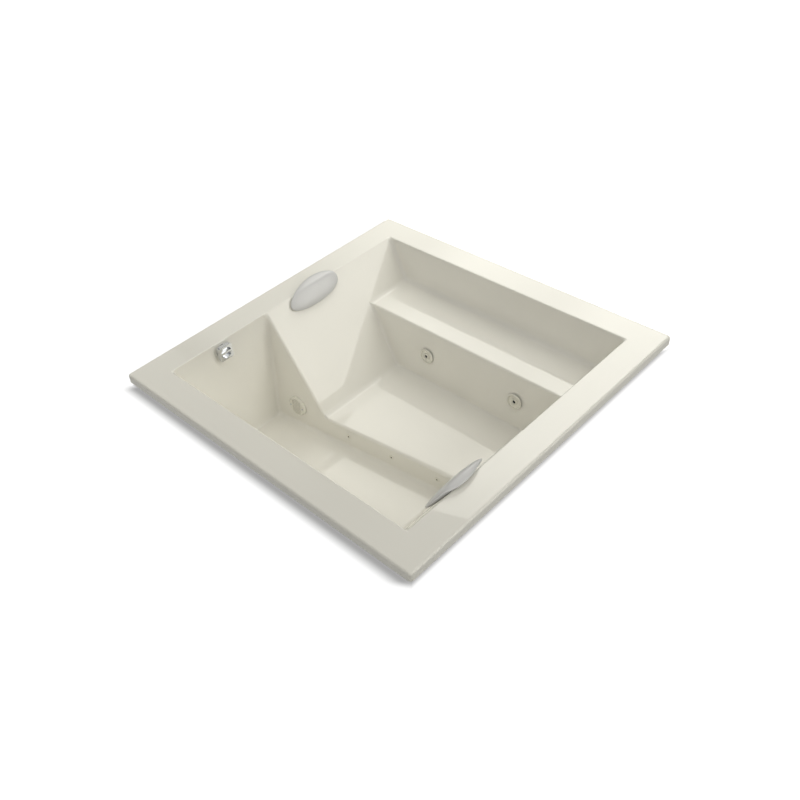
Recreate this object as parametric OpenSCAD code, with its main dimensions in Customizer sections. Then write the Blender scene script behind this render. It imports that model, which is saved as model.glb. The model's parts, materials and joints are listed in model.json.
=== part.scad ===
// Square drop-in jetted bath for two, with its pump, pipes, waste and supports.
// Depths are measured down from the deck; x runs from the left end, y from the front.

/* [Rim and shell] */
// Side of the square deck
deck_side = 1524; // [1510:1:1540]
// Width of the flat rim round the opening
rim_width = 127; // [122:1:132]
// Height of the turned-down lip
lip_height = 36; // [32:1:42]
// Radius of the rim's outer corners
rim_corner = 14; // [12:1:20]
// Radius of the rim's upper outer edge
rim_edge = 9; // [6:1:10]
// Wall of the moulded shell, acrylic and glass fibre together
shell_wall = 7; // [6:0.5:8]

/* [Levels] */
// Depth of the footwell floor below the deck
footwell_depth = 541; // [536:1:546]
// Height of the lounge floor above the footwell floor
step_height = 105; // [100:1:110]
// Height of the bench above the lounge floor
bench_height = 258; // [252:1:264]
// Width of the bench, from its front edge to the inner edge of the rear rim
bench_width = 266; // [259:1:273]
// Face of the divider at the left end of the rim, from the front of the deck
divider_start = 624; // [616:1:632]

/* [Wall angles] */
// Lean of the left backrest from upright
left_recline = 34; // [32:0.5:35]
// Lean of the right backrest from upright
right_recline = 32; // [30:0.5:34]
// Turn of the divider in plan
divider_slant = 6.35; // [5:0.05:7]
// Draft of the divider's face
divider_draft = 3.8; // [3:0.1:5]
// Draft of the right backrest's hidden side
wedge_draft = 0.5; // [0.2:0.1:1.5]
// Draft of the left end wall
left_wall_draft = 1.4; // [1:0.1:2]
// Draft of the front wall and the right end wall
plain_wall_draft = 3; // [2:0.5:4]
// Draft of the rear wall
rear_wall_draft = 8.25; // [7:0.25:9]
// Draft of the bench's front face
riser_draft = 7; // [6:0.25:8]

/* [Supports] */
// Thickness of the base board under the footwell
board_thick = 18; // [15:1:20]
// Set-in of the base board from the deck's outline
board_inset = 141; // [138:1:150]
// Width of a rim batten
batten_width = 45; // [40:1:48]
// Thickness of a rim batten
batten_thick = 18; // [12:1:22]
// Width of a lounge bearer
bearer_width = 45; // [38:1:50]
// Width of a bench post
post_width = 38; // [32:1:38]
// Width of a support rail
rail_width = 40; // [36:1:50]
// Height of a support rail
rail_height = 22; // [20:1:24]
// Height of the support rails above the floor
foot_height = 22; // [20:1:37]
// Sheet of a support rail
rail_sheet = 2.5; // [2:0.5:3]
// Radius of a foot pad
pad_radius = 25; // [20:1:30]
// Height of a foot pad
pad_height = 8; // [6:1:10]
// Radius of a foot stud
stud_radius = 6; // [5:0.5:7]

/* [Pillows] */
// Length of a pillow along the rim
pillow_length = 268; // [240:1:290]
// Height of a pillow over its bend
pillow_height = 126; // [110:1:134]
// Thickness of a pillow's pad
pillow_thick = 23; // [18:1:26]
// Extra crown in the middle of a pillow
pillow_crown = 7; // [3:1:10]
// Bend of a pillow over the rim
pillow_bend = 42; // [34:1:48]
// Tilt of a pillow in its own face
pillow_tilt = 6; // [0:1:8]
// How far a pillow's middle lies below the rim, along the backrest
pillow_drop = 22; // [16:1:30]
// Middle of the left pillow from the front of the deck
left_pillow_y = 886; // [870:1:900]
// Middle of the right pillow from the front of the deck
right_pillow_y = 382; // [370:1:400]

/* [Waste] */
// Overflow and drain centre from the front of the deck
waste_y = 375; // [365:1:385]
// Depth of the overflow's centre
overflow_depth = 47; // [45:1:55]
// Drain centre from the left edge of the deck
drain_x = 235; // [225:1:250]
// Radius of the waste pipes
waste_radius = 19; // [17:0.5:19]
// Side of the square overflow knob
knob_side = 66; // [62:1:70]
// Depth of the overflow knob, wall to face
knob_reach = 27; // [25:1:30]
// Lift of the drain stopper
stopper_lift = 10; // [8:1:12]

/* [Suction] */
// Suction fitting's centre from the left edge of the deck
suction_x = 264; // [258:1:275]
// Height of the suction fitting's centre above the footwell floor
suction_height = 100; // [94:1:106]
// Radius of the suction cover
cover_radius = 48; // [46:0.5:50]
// Radius of the suction pipe
suction_radius = 24; // [21:0.5:24]

/* [Bench jets] */
// Left jet's centre from the left edge, as a share of the deck's side
jet_start_share = 0.3924; // [0.384:0.0001:0.4]
// Distance between the two jets, as a share of the deck's side
jet_pitch_share = 0.3196; // [0.308:0.0001:0.328]
// Height of the jets above the lounge floor
jet_height = 131; // [124:1:138]
// Radius of a jet's ring
jet_ring_radius = 36; // [34:0.5:38]
// Radius of a jet's barrel
jet_barrel = 24; // [22:0.5:24]
// Radius of a jet's swivelling ball
ball_radius = 14; // [12:0.5:14]
// Radius of a nozzle's hole
nozzle_hole = 5; // [4:0.5:6]

/* [Step jets] */
// First step jet's centre from the left end, as a share of the step's length
step_start_share = 0.4309; // [0.42:0.0001:0.442]
// Distance between step jets, as a share of the step's length
step_pitch_share = 0.2426; // [0.232:0.0001:0.251]
// Number of step jets
step_jet_count = 3; // [2:1:3]
// Height of the step jets above the footwell floor
step_jet_height = 59; // [52:1:66]
// Place of the step jets' supply pipe, as a share of the deck's side
step_supply_share = 0.552; // [0.54:0.001:0.56]
// Radius of a step jet's cap
step_cap = 12; // [10:0.5:14]
// Radius of a step jet's hole
step_hole = 3.5; // [3:0.5:4]

/* [Pipes] */
// Distance from the bench's front face back to the water manifold
manifold_back = 95; // [90:1:100]
// Radius of the water manifold
manifold_radius = 20; // [18:0.5:20]
// Radius of the air manifold
air_radius = 10; // [9:0.5:12]
// Radius of the step manifold
step_pipe_radius = 13; // [12:0.5:14]
// Wall of a pipe
pipe_wall = 2.5; // [2:0.5:3]

/* [Pump] */
// Face of the pump's casing from the left edge of the deck
pump_x = 380; // [372:1:392]
// Height of the pump's shaft above the base board
shaft_height = 106; // [102:1:110]
// Radius of the pump's casing
casing_radius = 68; // [64:1:70]
// Width of the pump's casing
casing_width = 50; // [46:1:54]
// Offset of the pump's outlet from its shaft
outlet_offset = 45; // [42:1:46]
// Radius of the motor housing
motor_radius = 70; // [66:1:72]
// Length of the motor housing
motor_length = 160; // [150:1:175]
// Radius of the motor shaft
shaft_radius = 7; // [6:0.5:8]

/* [Hidden] */
$fn = 64;

// Overrun of every cut past the surface it opens
overrun = 5;
// Gap between pieces that seat on each other but must not touch
seat_gap = 0.3;
// Radial clearance of a running or sliding fit
run_gap = 0.05;
// Radial clearance of a pipe or barrel in its hole
pass_gap = 0.3;
// Gap between two battens at a corner
batten_gap = 1;
// Lap of the lounge's volume over the footwell's at the step's edge
wedge_lap = 1;
// Depths of the floors and fittings below the deck
lounge_depth = footwell_depth - step_height;
bench_depth = lounge_depth - bench_height;
jet_depth = lounge_depth - jet_height;
step_jet_depth = footwell_depth - step_jet_height;
pump_depth = footwell_depth + shell_wall - shaft_height;
// Height of the deck above the floor under the feet
overall_height = footwell_depth + shell_wall + board_thick + rail_height + foot_height;
// Front edge of the bench from the front of the deck
bench_front = deck_side - rim_width - bench_width;
// Depth of the suction fitting's centre
suction_depth = footwell_depth - suction_height;

// Colours
biscuit = [0.86, 0.85, 0.79];
silver_grey = [0.84, 0.84, 0.84];
chrome_grey = [0.75, 0.76, 0.78];
plastic_white = [0.92, 0.92, 0.90];
plastic_dark = [0.16, 0.17, 0.18];
timber = [0.74, 0.60, 0.42];
steel_grey = [0.60, 0.62, 0.64];
rubber_black = [0.10, 0.10, 0.10];
motor_blue = [0.20, 0.26, 0.34];

// Walls of the basin at a depth, each moved outwards from the water by grow
function left_wall_x(depth, grow) =
    rim_width + depth * tan(left_wall_draft) - grow / cos(left_wall_draft);
function front_wall_y(depth, grow) =
    rim_width + depth * tan(plain_wall_draft) - grow / cos(plain_wall_draft);
function right_wall_x(depth, grow) =
    deck_side - rim_width - depth * tan(plain_wall_draft) + grow / cos(plain_wall_draft);
function rear_wall_y(depth, grow) =
    deck_side - rim_width - depth * tan(rear_wall_draft) + grow / cos(rear_wall_draft);
function left_back_x(depth, grow) =
    rim_width + depth * tan(left_recline) - grow / cos(left_recline);
function right_back_x(depth, grow) =
    deck_side - rim_width - depth * tan(right_recline) + grow / cos(right_recline);
function riser_y(depth, grow) =
    bench_front - (depth - bench_depth) * tan(riser_draft) + grow / cos(riser_draft);
function divider_y(x, depth, grow) =
    divider_start + (x - rim_width) * tan(divider_slant)
    - depth * tan(divider_draft) / cos(divider_slant)
    + grow / (cos(divider_slant) * cos(divider_draft));
// Places of the jets along the bench and along the step
jet_x = jet_start_share * deck_side;
jet_spacing = jet_pitch_share * deck_side;
step_length = right_back_x(step_jet_depth, 0) - left_wall_x(step_jet_depth, 0);
step_jet_x = left_wall_x(step_jet_depth, 0) + step_start_share * step_length;
step_jet_spacing = step_pitch_share * step_length;
function wedge_y(x, depth, grow) =
    divider_y(x, lounge_depth, 0) - wedge_lap
    - (lounge_depth - depth) * tan(wedge_draft) / cos(divider_slant)
    - grow / cos(divider_slant);

// The four corners of each part of the basin at a depth
function footwell_corners(depth, grow) = let(
    left = left_wall_x(depth, grow),
    right = right_back_x(depth, grow),
    front = front_wall_y(depth, grow)
) [
    [left, front, -depth],
    [right, front, -depth],
    [right, divider_y(right, depth, grow), -depth],
    [left, divider_y(left, depth, grow), -depth]
];
// The side view of the middle zone and the bench, from the front of the deck's level round
function lounge_corner(i, right, top_depth, grow) = let(
    depth = i == 0 || i == 5 ? top_depth : i < 3 ? lounge_depth + grow : bench_depth + grow,
    x = right ? right_wall_x(depth, grow) : left_back_x(depth, grow),
    y = i < 2 ? wedge_y(x, depth, grow) : i < 4 ? riser_y(depth, grow) : rear_wall_y(depth, grow)
) [x, y, -depth];

// A block with plane sides between two loops of four corners
module block_between(top, bottom) {
    polyhedron(
        points = concat(bottom, top),
        faces = [
            [0, 1, 2, 3], [7, 6, 5, 4],
            [0, 4, 5, 1], [1, 5, 6, 2], [2, 6, 7, 3], [3, 7, 4, 0]
        ]
    );
}

module lounge_block(grow, top_depth) {
    polyhedron(
        points = [for (right = [false, true], i = [0:5]) lounge_corner(i, right, top_depth, grow)],
        faces = concat(
            [[0, 1, 2, 3, 4, 5], [11, 10, 9, 8, 7, 6]],
            [for (i = [0:5]) [(i + 1) % 6, i, i + 6, (i + 1) % 6 + 6]]
        )
    );
}

// Everything inside the basin's walls when they are moved outwards by grow
module basin(grow, top_depth) {
    block_between(footwell_corners(top_depth, grow), footwell_corners(footwell_depth + grow, grow));
    lounge_block(grow, top_depth);
}

// Places its children in the part's own frame: the middle of the deck, on the floor
module on_deck() {
    translate([-deck_side / 2, -deck_side / 2, overall_height]) children();
}

// Frames on the walls: +z points into the water, the origin is on the wall
module on_left_wall(y, depth) {
    translate([left_wall_x(depth, 0), y, -depth]) rotate([0, 90 - left_wall_draft, 0]) children();
}
module on_divider(x, depth) {
    translate([x, divider_y(x, depth, 0), -depth])
        rotate([0, 0, divider_slant]) rotate([90 - divider_draft, 0, 0]) children();
}
module on_riser(x) {
    translate([x, riser_y(jet_depth, 0), -jet_depth]) rotate([90 - riser_draft, 0, 0]) children();
}
module at_drain() {
    translate([drain_x, waste_y, -footwell_depth]) children();
}
module at_each_jet() {
    for (i = [0, 1]) on_riser(jet_x + i * jet_spacing) children();
}
module at_each_step_jet() {
    on_divider(step_jet_x, step_jet_depth)
        for (i = [0:step_jet_count - 1])
            translate([i * step_jet_spacing / cos(divider_slant), 0, 0]) children();
}

// A round bar or a ring along z from one height to another
module bar(radius, low, high) {
    translate([0, 0, low]) cylinder(r = radius, h = high - low);
}
module ring(outer, inner, low, high) {
    difference() {
        bar(outer, low, high);
        bar(inner, low - overrun, high + overrun);
    }
}
module hex_nut(across, inner, low, high) {
    difference() {
        translate([0, 0, low]) cylinder(r = across / 2 / cos(30), h = high - low, $fn = 6);
        bar(inner, low - overrun, high + overrun);
    }
}
module rounded_slab(side, corner, low, high) {
    translate([0, 0, low]) linear_extrude(high - low) {
        square([side, side - 2 * corner], center = true);
        square([side - 2 * corner, side], center = true);
        for (sx = [-1, 1], sy = [-1, 1])
            translate([sx * (side / 2 - corner), sy * (side / 2 - corner)]) circle(r = corner);
    }
}

// A round bar that follows a list of points. Its corners are bent to one radius, or mitred
// where the turn is small; a collar can cover each joint, as a pipe's coupling does.
small_turn = 20;
collar_reach = 8;
function unit_of(v) = v / norm(v);
function turn_at(points, i) = acos(unit_of(points[i] - points[i - 1]) * unit_of(points[i + 1] - points[i]));
function trim_at(points, i, radius, bend) = let(turn = turn_at(points, i))
    turn < small_turn ? -radius * tan(turn / 2) : bend * tan(turn / 2);
module along(from, way) {
    translate(from) rotate([0, acos(way[2]), atan2(way[1], way[0])]) children();
}
module bar_along(points, radius, bend, extend = 0, collar = 0) {
    last = len(points) - 1;
    for (i = [0:last - 1]) {
        a = points[i];
        way = unit_of(points[i + 1] - a);
        start = i == 0 ? -extend : trim_at(points, i, radius, bend);
        end = i == last - 1 ? -extend : trim_at(points, i + 1, radius, bend);
        along(a, way) bar(radius, start, norm(points[i + 1] - a) - end);
        if (collar > 0) along(a, way) {
            if (i > 0) bar(radius + collar, start - collar_reach, start + collar_reach);
            if (i < last - 1 && turn_at(points, i + 1) > small_turn)
                bar(radius + collar, norm(points[i + 1] - a) - end - collar_reach,
                    norm(points[i + 1] - a) - end + collar_reach);
        }
    }
    if (last > 1) for (i = [1:last - 1]) if (turn_at(points, i) > small_turn) {
        way = unit_of(points[i] - points[i - 1]);
        next = unit_of(points[i + 1] - points[i]);
        inward = unit_of(next - way * (way * next));
        centre = points[i] - way * trim_at(points, i, radius, bend) + inward * bend;
        x = -inward;
        z = cross(x, way);
        multmatrix([
            [x[0], way[0], z[0], centre[0]],
            [x[1], way[1], z[1], centre[1]],
            [x[2], way[2], z[2], centre[2]],
            [0, 0, 0, 1]
        ]) rotate_extrude(angle = turn_at(points, i)) translate([bend, 0]) circle(r = radius);
    }
}
module pipe_along(points, radius, wall, bend) {
    difference() {
        bar_along(points, radius, bend, 0, wall);
        bar_along(points, radius - wall, bend, overrun);
    }
}

// Shell

// One corner of the rim's outside, with its rounded upper edge
module rim_post() {
    rotate_extrude($fn = 32) {
        translate([0, -lip_height]) square([rim_corner, lip_height - rim_edge]);
        square_top = rim_corner - rim_edge;
        translate([0, -rim_edge]) square([square_top, rim_edge]);
        translate([square_top, -rim_edge]) intersection() {
            circle(r = rim_edge);
            square(rim_edge);
        }
    }
}
module rim_block() {
    hull() for (x = [rim_corner, deck_side - rim_corner], y = [rim_corner, deck_side - rim_corner])
        translate([x, y, 0]) rim_post();
}
// Bores of the shell
overflow_barrel = 22;
drain_barrel = 25;
suction_barrel = 28;
step_barrel = 8;
module shell_bore(barrel) {
    bar(barrel + pass_gap, -shell_wall - overrun, overrun);
}
module tub_shell() {
    color(biscuit) on_deck() difference() {
        union() {
            difference() {
                rim_block();
                translate([shell_wall, shell_wall, -lip_height - overrun])
                    cube([
                        deck_side - 2 * shell_wall,
                        deck_side - 2 * shell_wall,
                        lip_height + overrun - shell_wall
                    ]);
            }
            basin(shell_wall, shell_wall / 2);
        }
        basin(0, -overrun);
        on_left_wall(waste_y, overflow_depth) shell_bore(overflow_barrel);
        at_drain() shell_bore(drain_barrel);
        on_divider(suction_x, suction_depth) shell_bore(suction_barrel);
        at_each_jet() shell_bore(jet_barrel);
        at_each_step_jet() shell_bore(step_barrel);
    }
}

// Supports

board_top = footwell_depth + shell_wall;
board_bottom = board_top + board_thick;
rail_bottom = board_bottom + rail_height;
batten_inset = 25;
board_hole = 50;
rail_shares = [0.164, 0.525, 0.866];
rail_places = [for (share = rail_shares) share * deck_side];
foot_share = 0.0362;
module rim_battens() {
    long = deck_side - 2 * batten_inset;
    color(timber) on_deck() for (turn = [0, 90, 180, 270])
        translate([deck_side / 2, deck_side / 2, -shell_wall - batten_thick])
            rotate([0, 0, turn])
                translate([-long / 2, -long / 2, 0])
                    cube([long - batten_width - batten_gap, batten_width, batten_thick]);
}
module base_board() {
    side = deck_side - 2 * board_inset;
    color(timber) on_deck() difference() {
        translate([board_inset, board_inset, -board_bottom]) cube([side, side, board_thick]);
        translate([drain_x, waste_y, 0]) bar(board_hole, -board_bottom - overrun, -board_top + overrun);
    }
}
bearer_shares = [0.06, 0.24, 0.62, 0.83];
module lounge_bearers() {
    left = left_back_x(lounge_depth, 0);
    length = right_wall_x(lounge_depth, 0) - left;
    rear = riser_y(lounge_depth, 0);
    front = divider_y(right_wall_x(lounge_depth, 0), lounge_depth, 0) + bearer_width;
    color(timber) on_deck() for (share = bearer_shares)
        translate([left + share * length, front, -board_top])
            cube([bearer_width, rear - front - shell_wall, footwell_depth - lounge_depth]);
}
rear_post_shares = [0.08, 0.5, 0.92];
front_post_shares = [0.08, 0.88];
module bench_posts() {
    left = left_back_x(bench_depth, 0);
    length = right_wall_x(bench_depth, 0) - left;
    rear = rear_wall_y(bench_depth, 0) - post_width;
    front = riser_y(bench_depth, 0) + shell_wall;
    height = footwell_depth - bench_depth;
    color(timber) on_deck() {
        for (share = rear_post_shares)
            translate([left + share * length, rear, -board_top]) cube([post_width, post_width, height]);
        for (share = front_post_shares)
            translate([left + share * length, front, -board_top]) cube([post_width, post_width, height]);
    }
}
rail_length = deck_side - 2 * board_inset;
module at_each_foot() {
    end = foot_share * rail_length;
    for (y = rail_places, x = [board_inset + end, deck_side - board_inset - end])
        translate([x, y, 0]) children();
}
module support_rails() {
    color(steel_grey) on_deck() difference() {
        for (y = rail_places)
            translate([board_inset, y - rail_width / 2, -rail_bottom])
                cube([rail_length, rail_width, rail_height]);
        for (y = rail_places)
            translate([board_inset - overrun, y - rail_width / 2 + rail_sheet, -rail_bottom - overrun])
                cube([rail_length + 2 * overrun, rail_width - 2 * rail_sheet,
                    rail_height + overrun - rail_sheet]);
        at_each_foot() bar(stud_radius + run_gap, -rail_bottom, -board_bottom + overrun);
    }
}
stud_hex = 19;
stud_hex_height = 6;
module foot_studs() {
    low = -overall_height + pad_height / 2;
    color(steel_grey) on_deck() at_each_foot() {
        bar(stud_radius, low, -board_bottom - seat_gap);
        hex_nut(stud_hex, stud_radius - run_gap,
            -board_bottom - rail_sheet - stud_hex_height, -board_bottom - rail_sheet);
    }
}
module foot_pads() {
    color(rubber_black) on_deck() at_each_foot() difference() {
        bar(pad_radius, -overall_height, -overall_height + pad_height);
        bar(stud_radius + run_gap, -overall_height + pad_height / 2, -overall_height + pad_height + overrun);
    }
}

// Pillows: a leaf-shaped pad bent over the rim's inner edge

pillow_sides = 32;
pillow_rings = 9;
// Extra room behind the pad where it bends, and how fast it fades along the pad
bend_relief = 2.5;
bend_reach = 16;
leaf_power_share = 0.8;
function sign_power(v, power) = sign(v) * pow(abs(v), power);
// Distance outwards and up, and the pad's normal, at a way v up the backrest from the rim
function pad_place(v, recline) = let(
    middle = seat_gap + pillow_thick / 2,
    bent = middle * pillow_bend * PI / 180,
    turn = v <= 0 ? 0 : v < bent ? v / middle * 180 / PI : pillow_bend,
    ahead = v <= 0 ? v : v < bent ? 0 : v - bent,
    rise = 90 - recline - turn,
    normal = [-sin(rise), cos(rise)]
) [normal * middle + [cos(rise), sin(rise)] * ahead, normal];
function pad_point(side, middle_y, recline, share, angle, front) = let(
    along = pillow_length / 2 * cos(angle) * share,
    across = pillow_height / 2 * sign_power(sin(angle), leaf_power_share) * share,
    u = along * cos(pillow_tilt) - across * sin(pillow_tilt),
    v = along * sin(pillow_tilt) + across * cos(pillow_tilt) - pillow_drop,
    place = pad_place(v, recline),
    edge = sqrt(1 - pow(share, 6)),
    half = pillow_thick / 2 * edge,
    height = front ? half + pillow_crown * (1 - share * share)
        : -half + edge * bend_relief / (1 + pow(v / bend_reach, 2)),
    at = place[0] + place[1] * height,
    rim_x = side < 0 ? rim_width : deck_side - rim_width
) [rim_x + side * at[0], middle_y + u, at[1]];
module pillow(side, middle_y, recline) {
    step = 360 / pillow_sides;
    // Rings crowd towards the edge, where the pad rounds off
    shares = [for (i = [1:pillow_rings]) sin(90 * i / pillow_rings)];
    front = [for (s = shares, j = [0:pillow_sides - 1])
        pad_point(side, middle_y, recline, s, j * step, true)];
    back = [for (i = [pillow_rings - 2:-1:0], j = [0:pillow_sides - 1])
        pad_point(side, middle_y, recline, shares[i], j * step, false)];
    first = pad_point(side, middle_y, recline, 0, 0, true);
    last = pad_point(side, middle_y, recline, 0, 0, false);
    loops = 2 * pillow_rings - 1;
    top = loops * pillow_sides;
    function at(i, j) = i * pillow_sides + j % pillow_sides;
    turned = side < 0;
    function way(face) = turned ? face : [face[2], face[1], face[0]];
    faces = [
        for (j = [0:pillow_sides - 1]) way([top, at(0, j + 1), at(0, j)]),
        for (i = [0:loops - 2], j = [0:pillow_sides - 1]) way([at(i, j), at(i, j + 1), at(i + 1, j)]),
        for (i = [0:loops - 2], j = [0:pillow_sides - 1])
            way([at(i, j + 1), at(i + 1, j + 1), at(i + 1, j)]),
        for (j = [0:pillow_sides - 1]) way([top + 1, at(loops - 1, j), at(loops - 1, j + 1)])
    ];
    polyhedron(points = concat(front, back, [first, last]), faces = faces);
}
module left_pillow() {
    color(silver_grey) on_deck() pillow(-1, left_pillow_y, left_recline);
}
module right_pillow() {
    color(silver_grey) on_deck() pillow(1, right_pillow_y, right_recline);
}

// Waste set

gasket_thick = 3;
fitting_flange = 5;
fitting_wall = 3;
overflow_flange_radius = 34;
overflow_plate = 32;
overflow_plate_thick = 3;
overflow_chamber = 27;
overflow_chamber_depth = 50;
overflow_back = 33;
overflow_socket_length = 52;
overflow_hub = 8;
spindle_radius = 4;
waste_slot = 4;
waste_slot_count = 6;
cable_radius = 3.5;
cable_boss = 6;
cable_offset = 30;
cable_bend = 20;
floor_gap = 1;
tee_radius = waste_radius + fitting_wall;
waste_depth = overall_height - floor_gap - tee_radius;
waste_x = left_wall_x(overflow_depth, 0) - overflow_back * cos(left_wall_draft);
flange_back = -shell_wall - gasket_thick - fitting_flange;
slip_nut_height = 20;
module overflow_body() {
    color(plastic_dark) on_deck() on_left_wall(waste_y, overflow_depth) difference() {
        union() {
            bar(overflow_flange_radius, flange_back, flange_back + fitting_flange);
            bar(overflow_chamber, -overflow_chamber_depth - fitting_wall, flange_back);
            translate([0, 0, -overflow_back]) rotate([0, 90 + left_wall_draft, 0])
                bar(waste_radius + pass_gap + fitting_wall, 0, overflow_socket_length);
            translate([0, cable_offset, -overflow_back]) rotate([0, 90 + left_wall_draft, 0])
                bar(cable_boss, 0, overflow_chamber);
        }
        bar(overflow_barrel + run_gap, flange_back - overrun, flange_back + fitting_flange + overrun);
        bar(overflow_chamber - fitting_wall, -overflow_chamber_depth, flange_back);
        translate([0, 0, -overflow_back]) rotate([0, 90 + left_wall_draft, 0])
            bar(waste_radius + pass_gap, 0, overflow_socket_length + overrun);
        translate([0, cable_offset, -overflow_back]) rotate([0, 90 + left_wall_draft, 0])
            bar(cable_radius + pass_gap, overflow_chamber / 2, overflow_chamber + overrun);
    }
}
module overflow_gasket() {
    color(rubber_black) on_deck() on_left_wall(waste_y, overflow_depth)
        ring(overflow_flange_radius, overflow_barrel + pass_gap, -shell_wall - gasket_thick, -shell_wall);
}
module overflow_flange() {
    inside = overflow_barrel - fitting_wall;
    color(chrome_grey) on_deck() on_left_wall(waste_y, overflow_depth) difference() {
        union() {
            bar(overflow_plate, 0, overflow_plate_thick);
            bar(overflow_barrel, flange_back, 0);
            bar(overflow_hub, 0, 2 * overflow_plate_thick);
        }
        bar(inside, flange_back - overrun, -overflow_plate_thick);
        bar(spindle_radius + run_gap, -2 * overflow_plate_thick, 3 * overflow_plate_thick);
        for (i = [0:waste_slot_count - 1])
            rotate([0, 0, i * 360 / waste_slot_count])
                translate([(overflow_hub + inside) / 2, 0, 0])
                    bar(waste_slot, -2 * overflow_plate_thick, 2 * overflow_plate_thick);
    }
}
knob_gap = 7;
knob_corner = 9;
knob_seat = 12;
drum_radius = 14;
drum_thick = 4;
module knob_spindle() {
    low = -overflow_chamber_depth + drum_thick;
    color(steel_grey) on_deck() on_left_wall(waste_y, overflow_depth) {
        bar(spindle_radius, low, knob_seat);
        bar(drum_radius, low, low + drum_thick);
    }
}
// The knob: a rounded square block with a round finger dish and a grip bar across it
dish_radius = 25;
dish_depth = 13;
grip_width = 9;
grip_set_back = 2;
module overflow_knob() {
    color(chrome_grey) on_deck() on_left_wall(waste_y, overflow_depth) difference() {
        rounded_slab(knob_side, knob_corner, knob_gap, knob_reach);
        difference() {
            bar(dish_radius, knob_reach - dish_depth, knob_reach + overrun);
            translate([-grip_width / 2, -knob_side / 2, 0])
                cube([grip_width, knob_side, knob_reach - grip_set_back]);
        }
        bar(spindle_radius + run_gap, 0, knob_seat);
    }
}
pipe_top = overflow_depth + overflow_chamber;
tee_socket = 40;
tee_reach = 32;
module overflow_pipe() {
    color(plastic_dark) on_deck() translate([waste_x, waste_y, 0])
        ring(waste_radius, waste_radius - pipe_wall, -waste_depth + waste_radius + fitting_wall, -pipe_top);
}
outlet_length = 45;
module waste_tee() {
    bore = waste_radius + run_gap;
    inner = waste_radius - pipe_wall;
    color(plastic_dark) on_deck() translate([waste_x, waste_y, -waste_depth]) difference() {
        union() {
            bar(tee_radius, 0, tee_socket);
            rotate([0, 90, 0]) bar(tee_radius, -tee_reach, tee_reach);
            rotate([0, -90, 0]) bar(waste_radius, 0, tee_reach + outlet_length);
        }
        bar(bore, tee_radius, tee_socket + overrun);
        bar(inner, 0, tee_socket);
        rotate([0, 90, 0]) bar(inner, -tee_reach - outlet_length - overrun, tee_reach);
        rotate([0, 90, 0]) bar(bore, tee_reach / 2, tee_reach + overrun);
    }
}
shoe_radius = 32;
shoe_chamber = 28;
shoe_socket = 9;
module shoe_pipe() {
    start = waste_x + tee_reach / 2;
    end = drain_x - shoe_chamber;
    color(plastic_dark) on_deck() translate([0, waste_y, -waste_depth]) rotate([0, 90, 0])
        ring(waste_radius, waste_radius - pipe_wall, start, end);
}
slip_nut_radius = waste_radius + 2.2 * fitting_wall;
module slip_nuts() {
    color(plastic_white) on_deck() {
        translate([waste_x, waste_y, 0]) ring(slip_nut_radius, waste_radius + pass_gap,
            -waste_depth + tee_socket, -waste_depth + tee_socket + slip_nut_height);
        on_left_wall(waste_y, overflow_depth) translate([0, 0, -overflow_back])
            rotate([0, 90 + left_wall_draft, 0]) ring(slip_nut_radius, waste_radius + pass_gap,
                overflow_socket_length, overflow_socket_length + slip_nut_height);
    }
}
drain_gasket_thick = 4;
shoe_flange = 40;
shoe_top = footwell_depth + shell_wall + drain_gasket_thick;
drain_barrel_length = 23;
cable_depth = waste_depth;
module drain_gasket() {
    color(rubber_black) on_deck() translate([drain_x, waste_y, 0])
        ring(shoe_flange, drain_barrel + pass_gap, -shoe_top, -board_top);
}
module drain_shoe() {
    bottom = overall_height - floor_gap;
    neck = footwell_depth + drain_barrel_length + fitting_wall;
    color(plastic_dark) on_deck() translate([drain_x, waste_y, 0]) difference() {
        union() {
            bar(shoe_flange, -shoe_top - fitting_wall, -shoe_top);
            bar(shoe_radius, -bottom, -shoe_top);
            translate([0, 0, -waste_depth]) rotate([0, -90, 0])
                bar(tee_radius, 0, shoe_radius + shoe_socket);
            translate([0, cable_offset, -cable_depth]) rotate([0, -90, 0])
                bar(cable_boss, 0, shoe_radius);
        }
        bar(drain_barrel + pass_gap, -neck, -shoe_top + overrun);
        bar(shoe_chamber, -bottom + fitting_wall, -neck);
        translate([0, 0, -waste_depth]) rotate([0, -90, 0])
            bar(waste_radius + run_gap, 0, shoe_radius + shoe_socket + overrun);
        translate([0, cable_offset, -cable_depth]) rotate([0, -90, 0])
            bar(cable_radius + pass_gap, shoe_radius / 2, shoe_radius + overrun);
    }
}
drain_plate = 37;
drain_plate_thick = 3;
stem_radius = 4;
spider_width = 6;
spider_depth = 14;
module drain_flange() {
    inside = drain_barrel - fitting_wall;
    color(chrome_grey) on_deck() at_drain() {
        difference() {
            union() {
                bar(drain_plate, 0, drain_plate_thick);
                bar(drain_barrel, -drain_barrel_length, 0);
            }
            bar(inside, -drain_barrel_length - overrun, drain_plate_thick + overrun);
        }
        difference() {
            intersection() {
                bar(drain_barrel, -spider_depth - spider_width, -spider_depth);
                union() {
                    cube([2 * drain_barrel, spider_width, 4 * drain_barrel], center = true);
                    cube([spider_width, 2 * drain_barrel, 4 * drain_barrel], center = true);
                    bar(2 * stem_radius, -2 * drain_barrel, 0);
                }
            }
            bar(stem_radius + run_gap, -drain_barrel_length, 0);
        }
    }
}
stopper_radius = 28;
stopper_thick = 4;
module drain_stopper() {
    low = drain_plate_thick + seat_gap;
    color(chrome_grey) on_deck() at_drain() {
        bar(stopper_radius, low, low + stopper_thick / 2);
        translate([0, 0, low + stopper_thick / 2])
            cylinder(r1 = stopper_radius, r2 = stopper_radius - stopper_thick, h = stopper_thick / 2);
        bar(stem_radius, -spider_depth - 2 * spider_width, low);
    }
}
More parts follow.
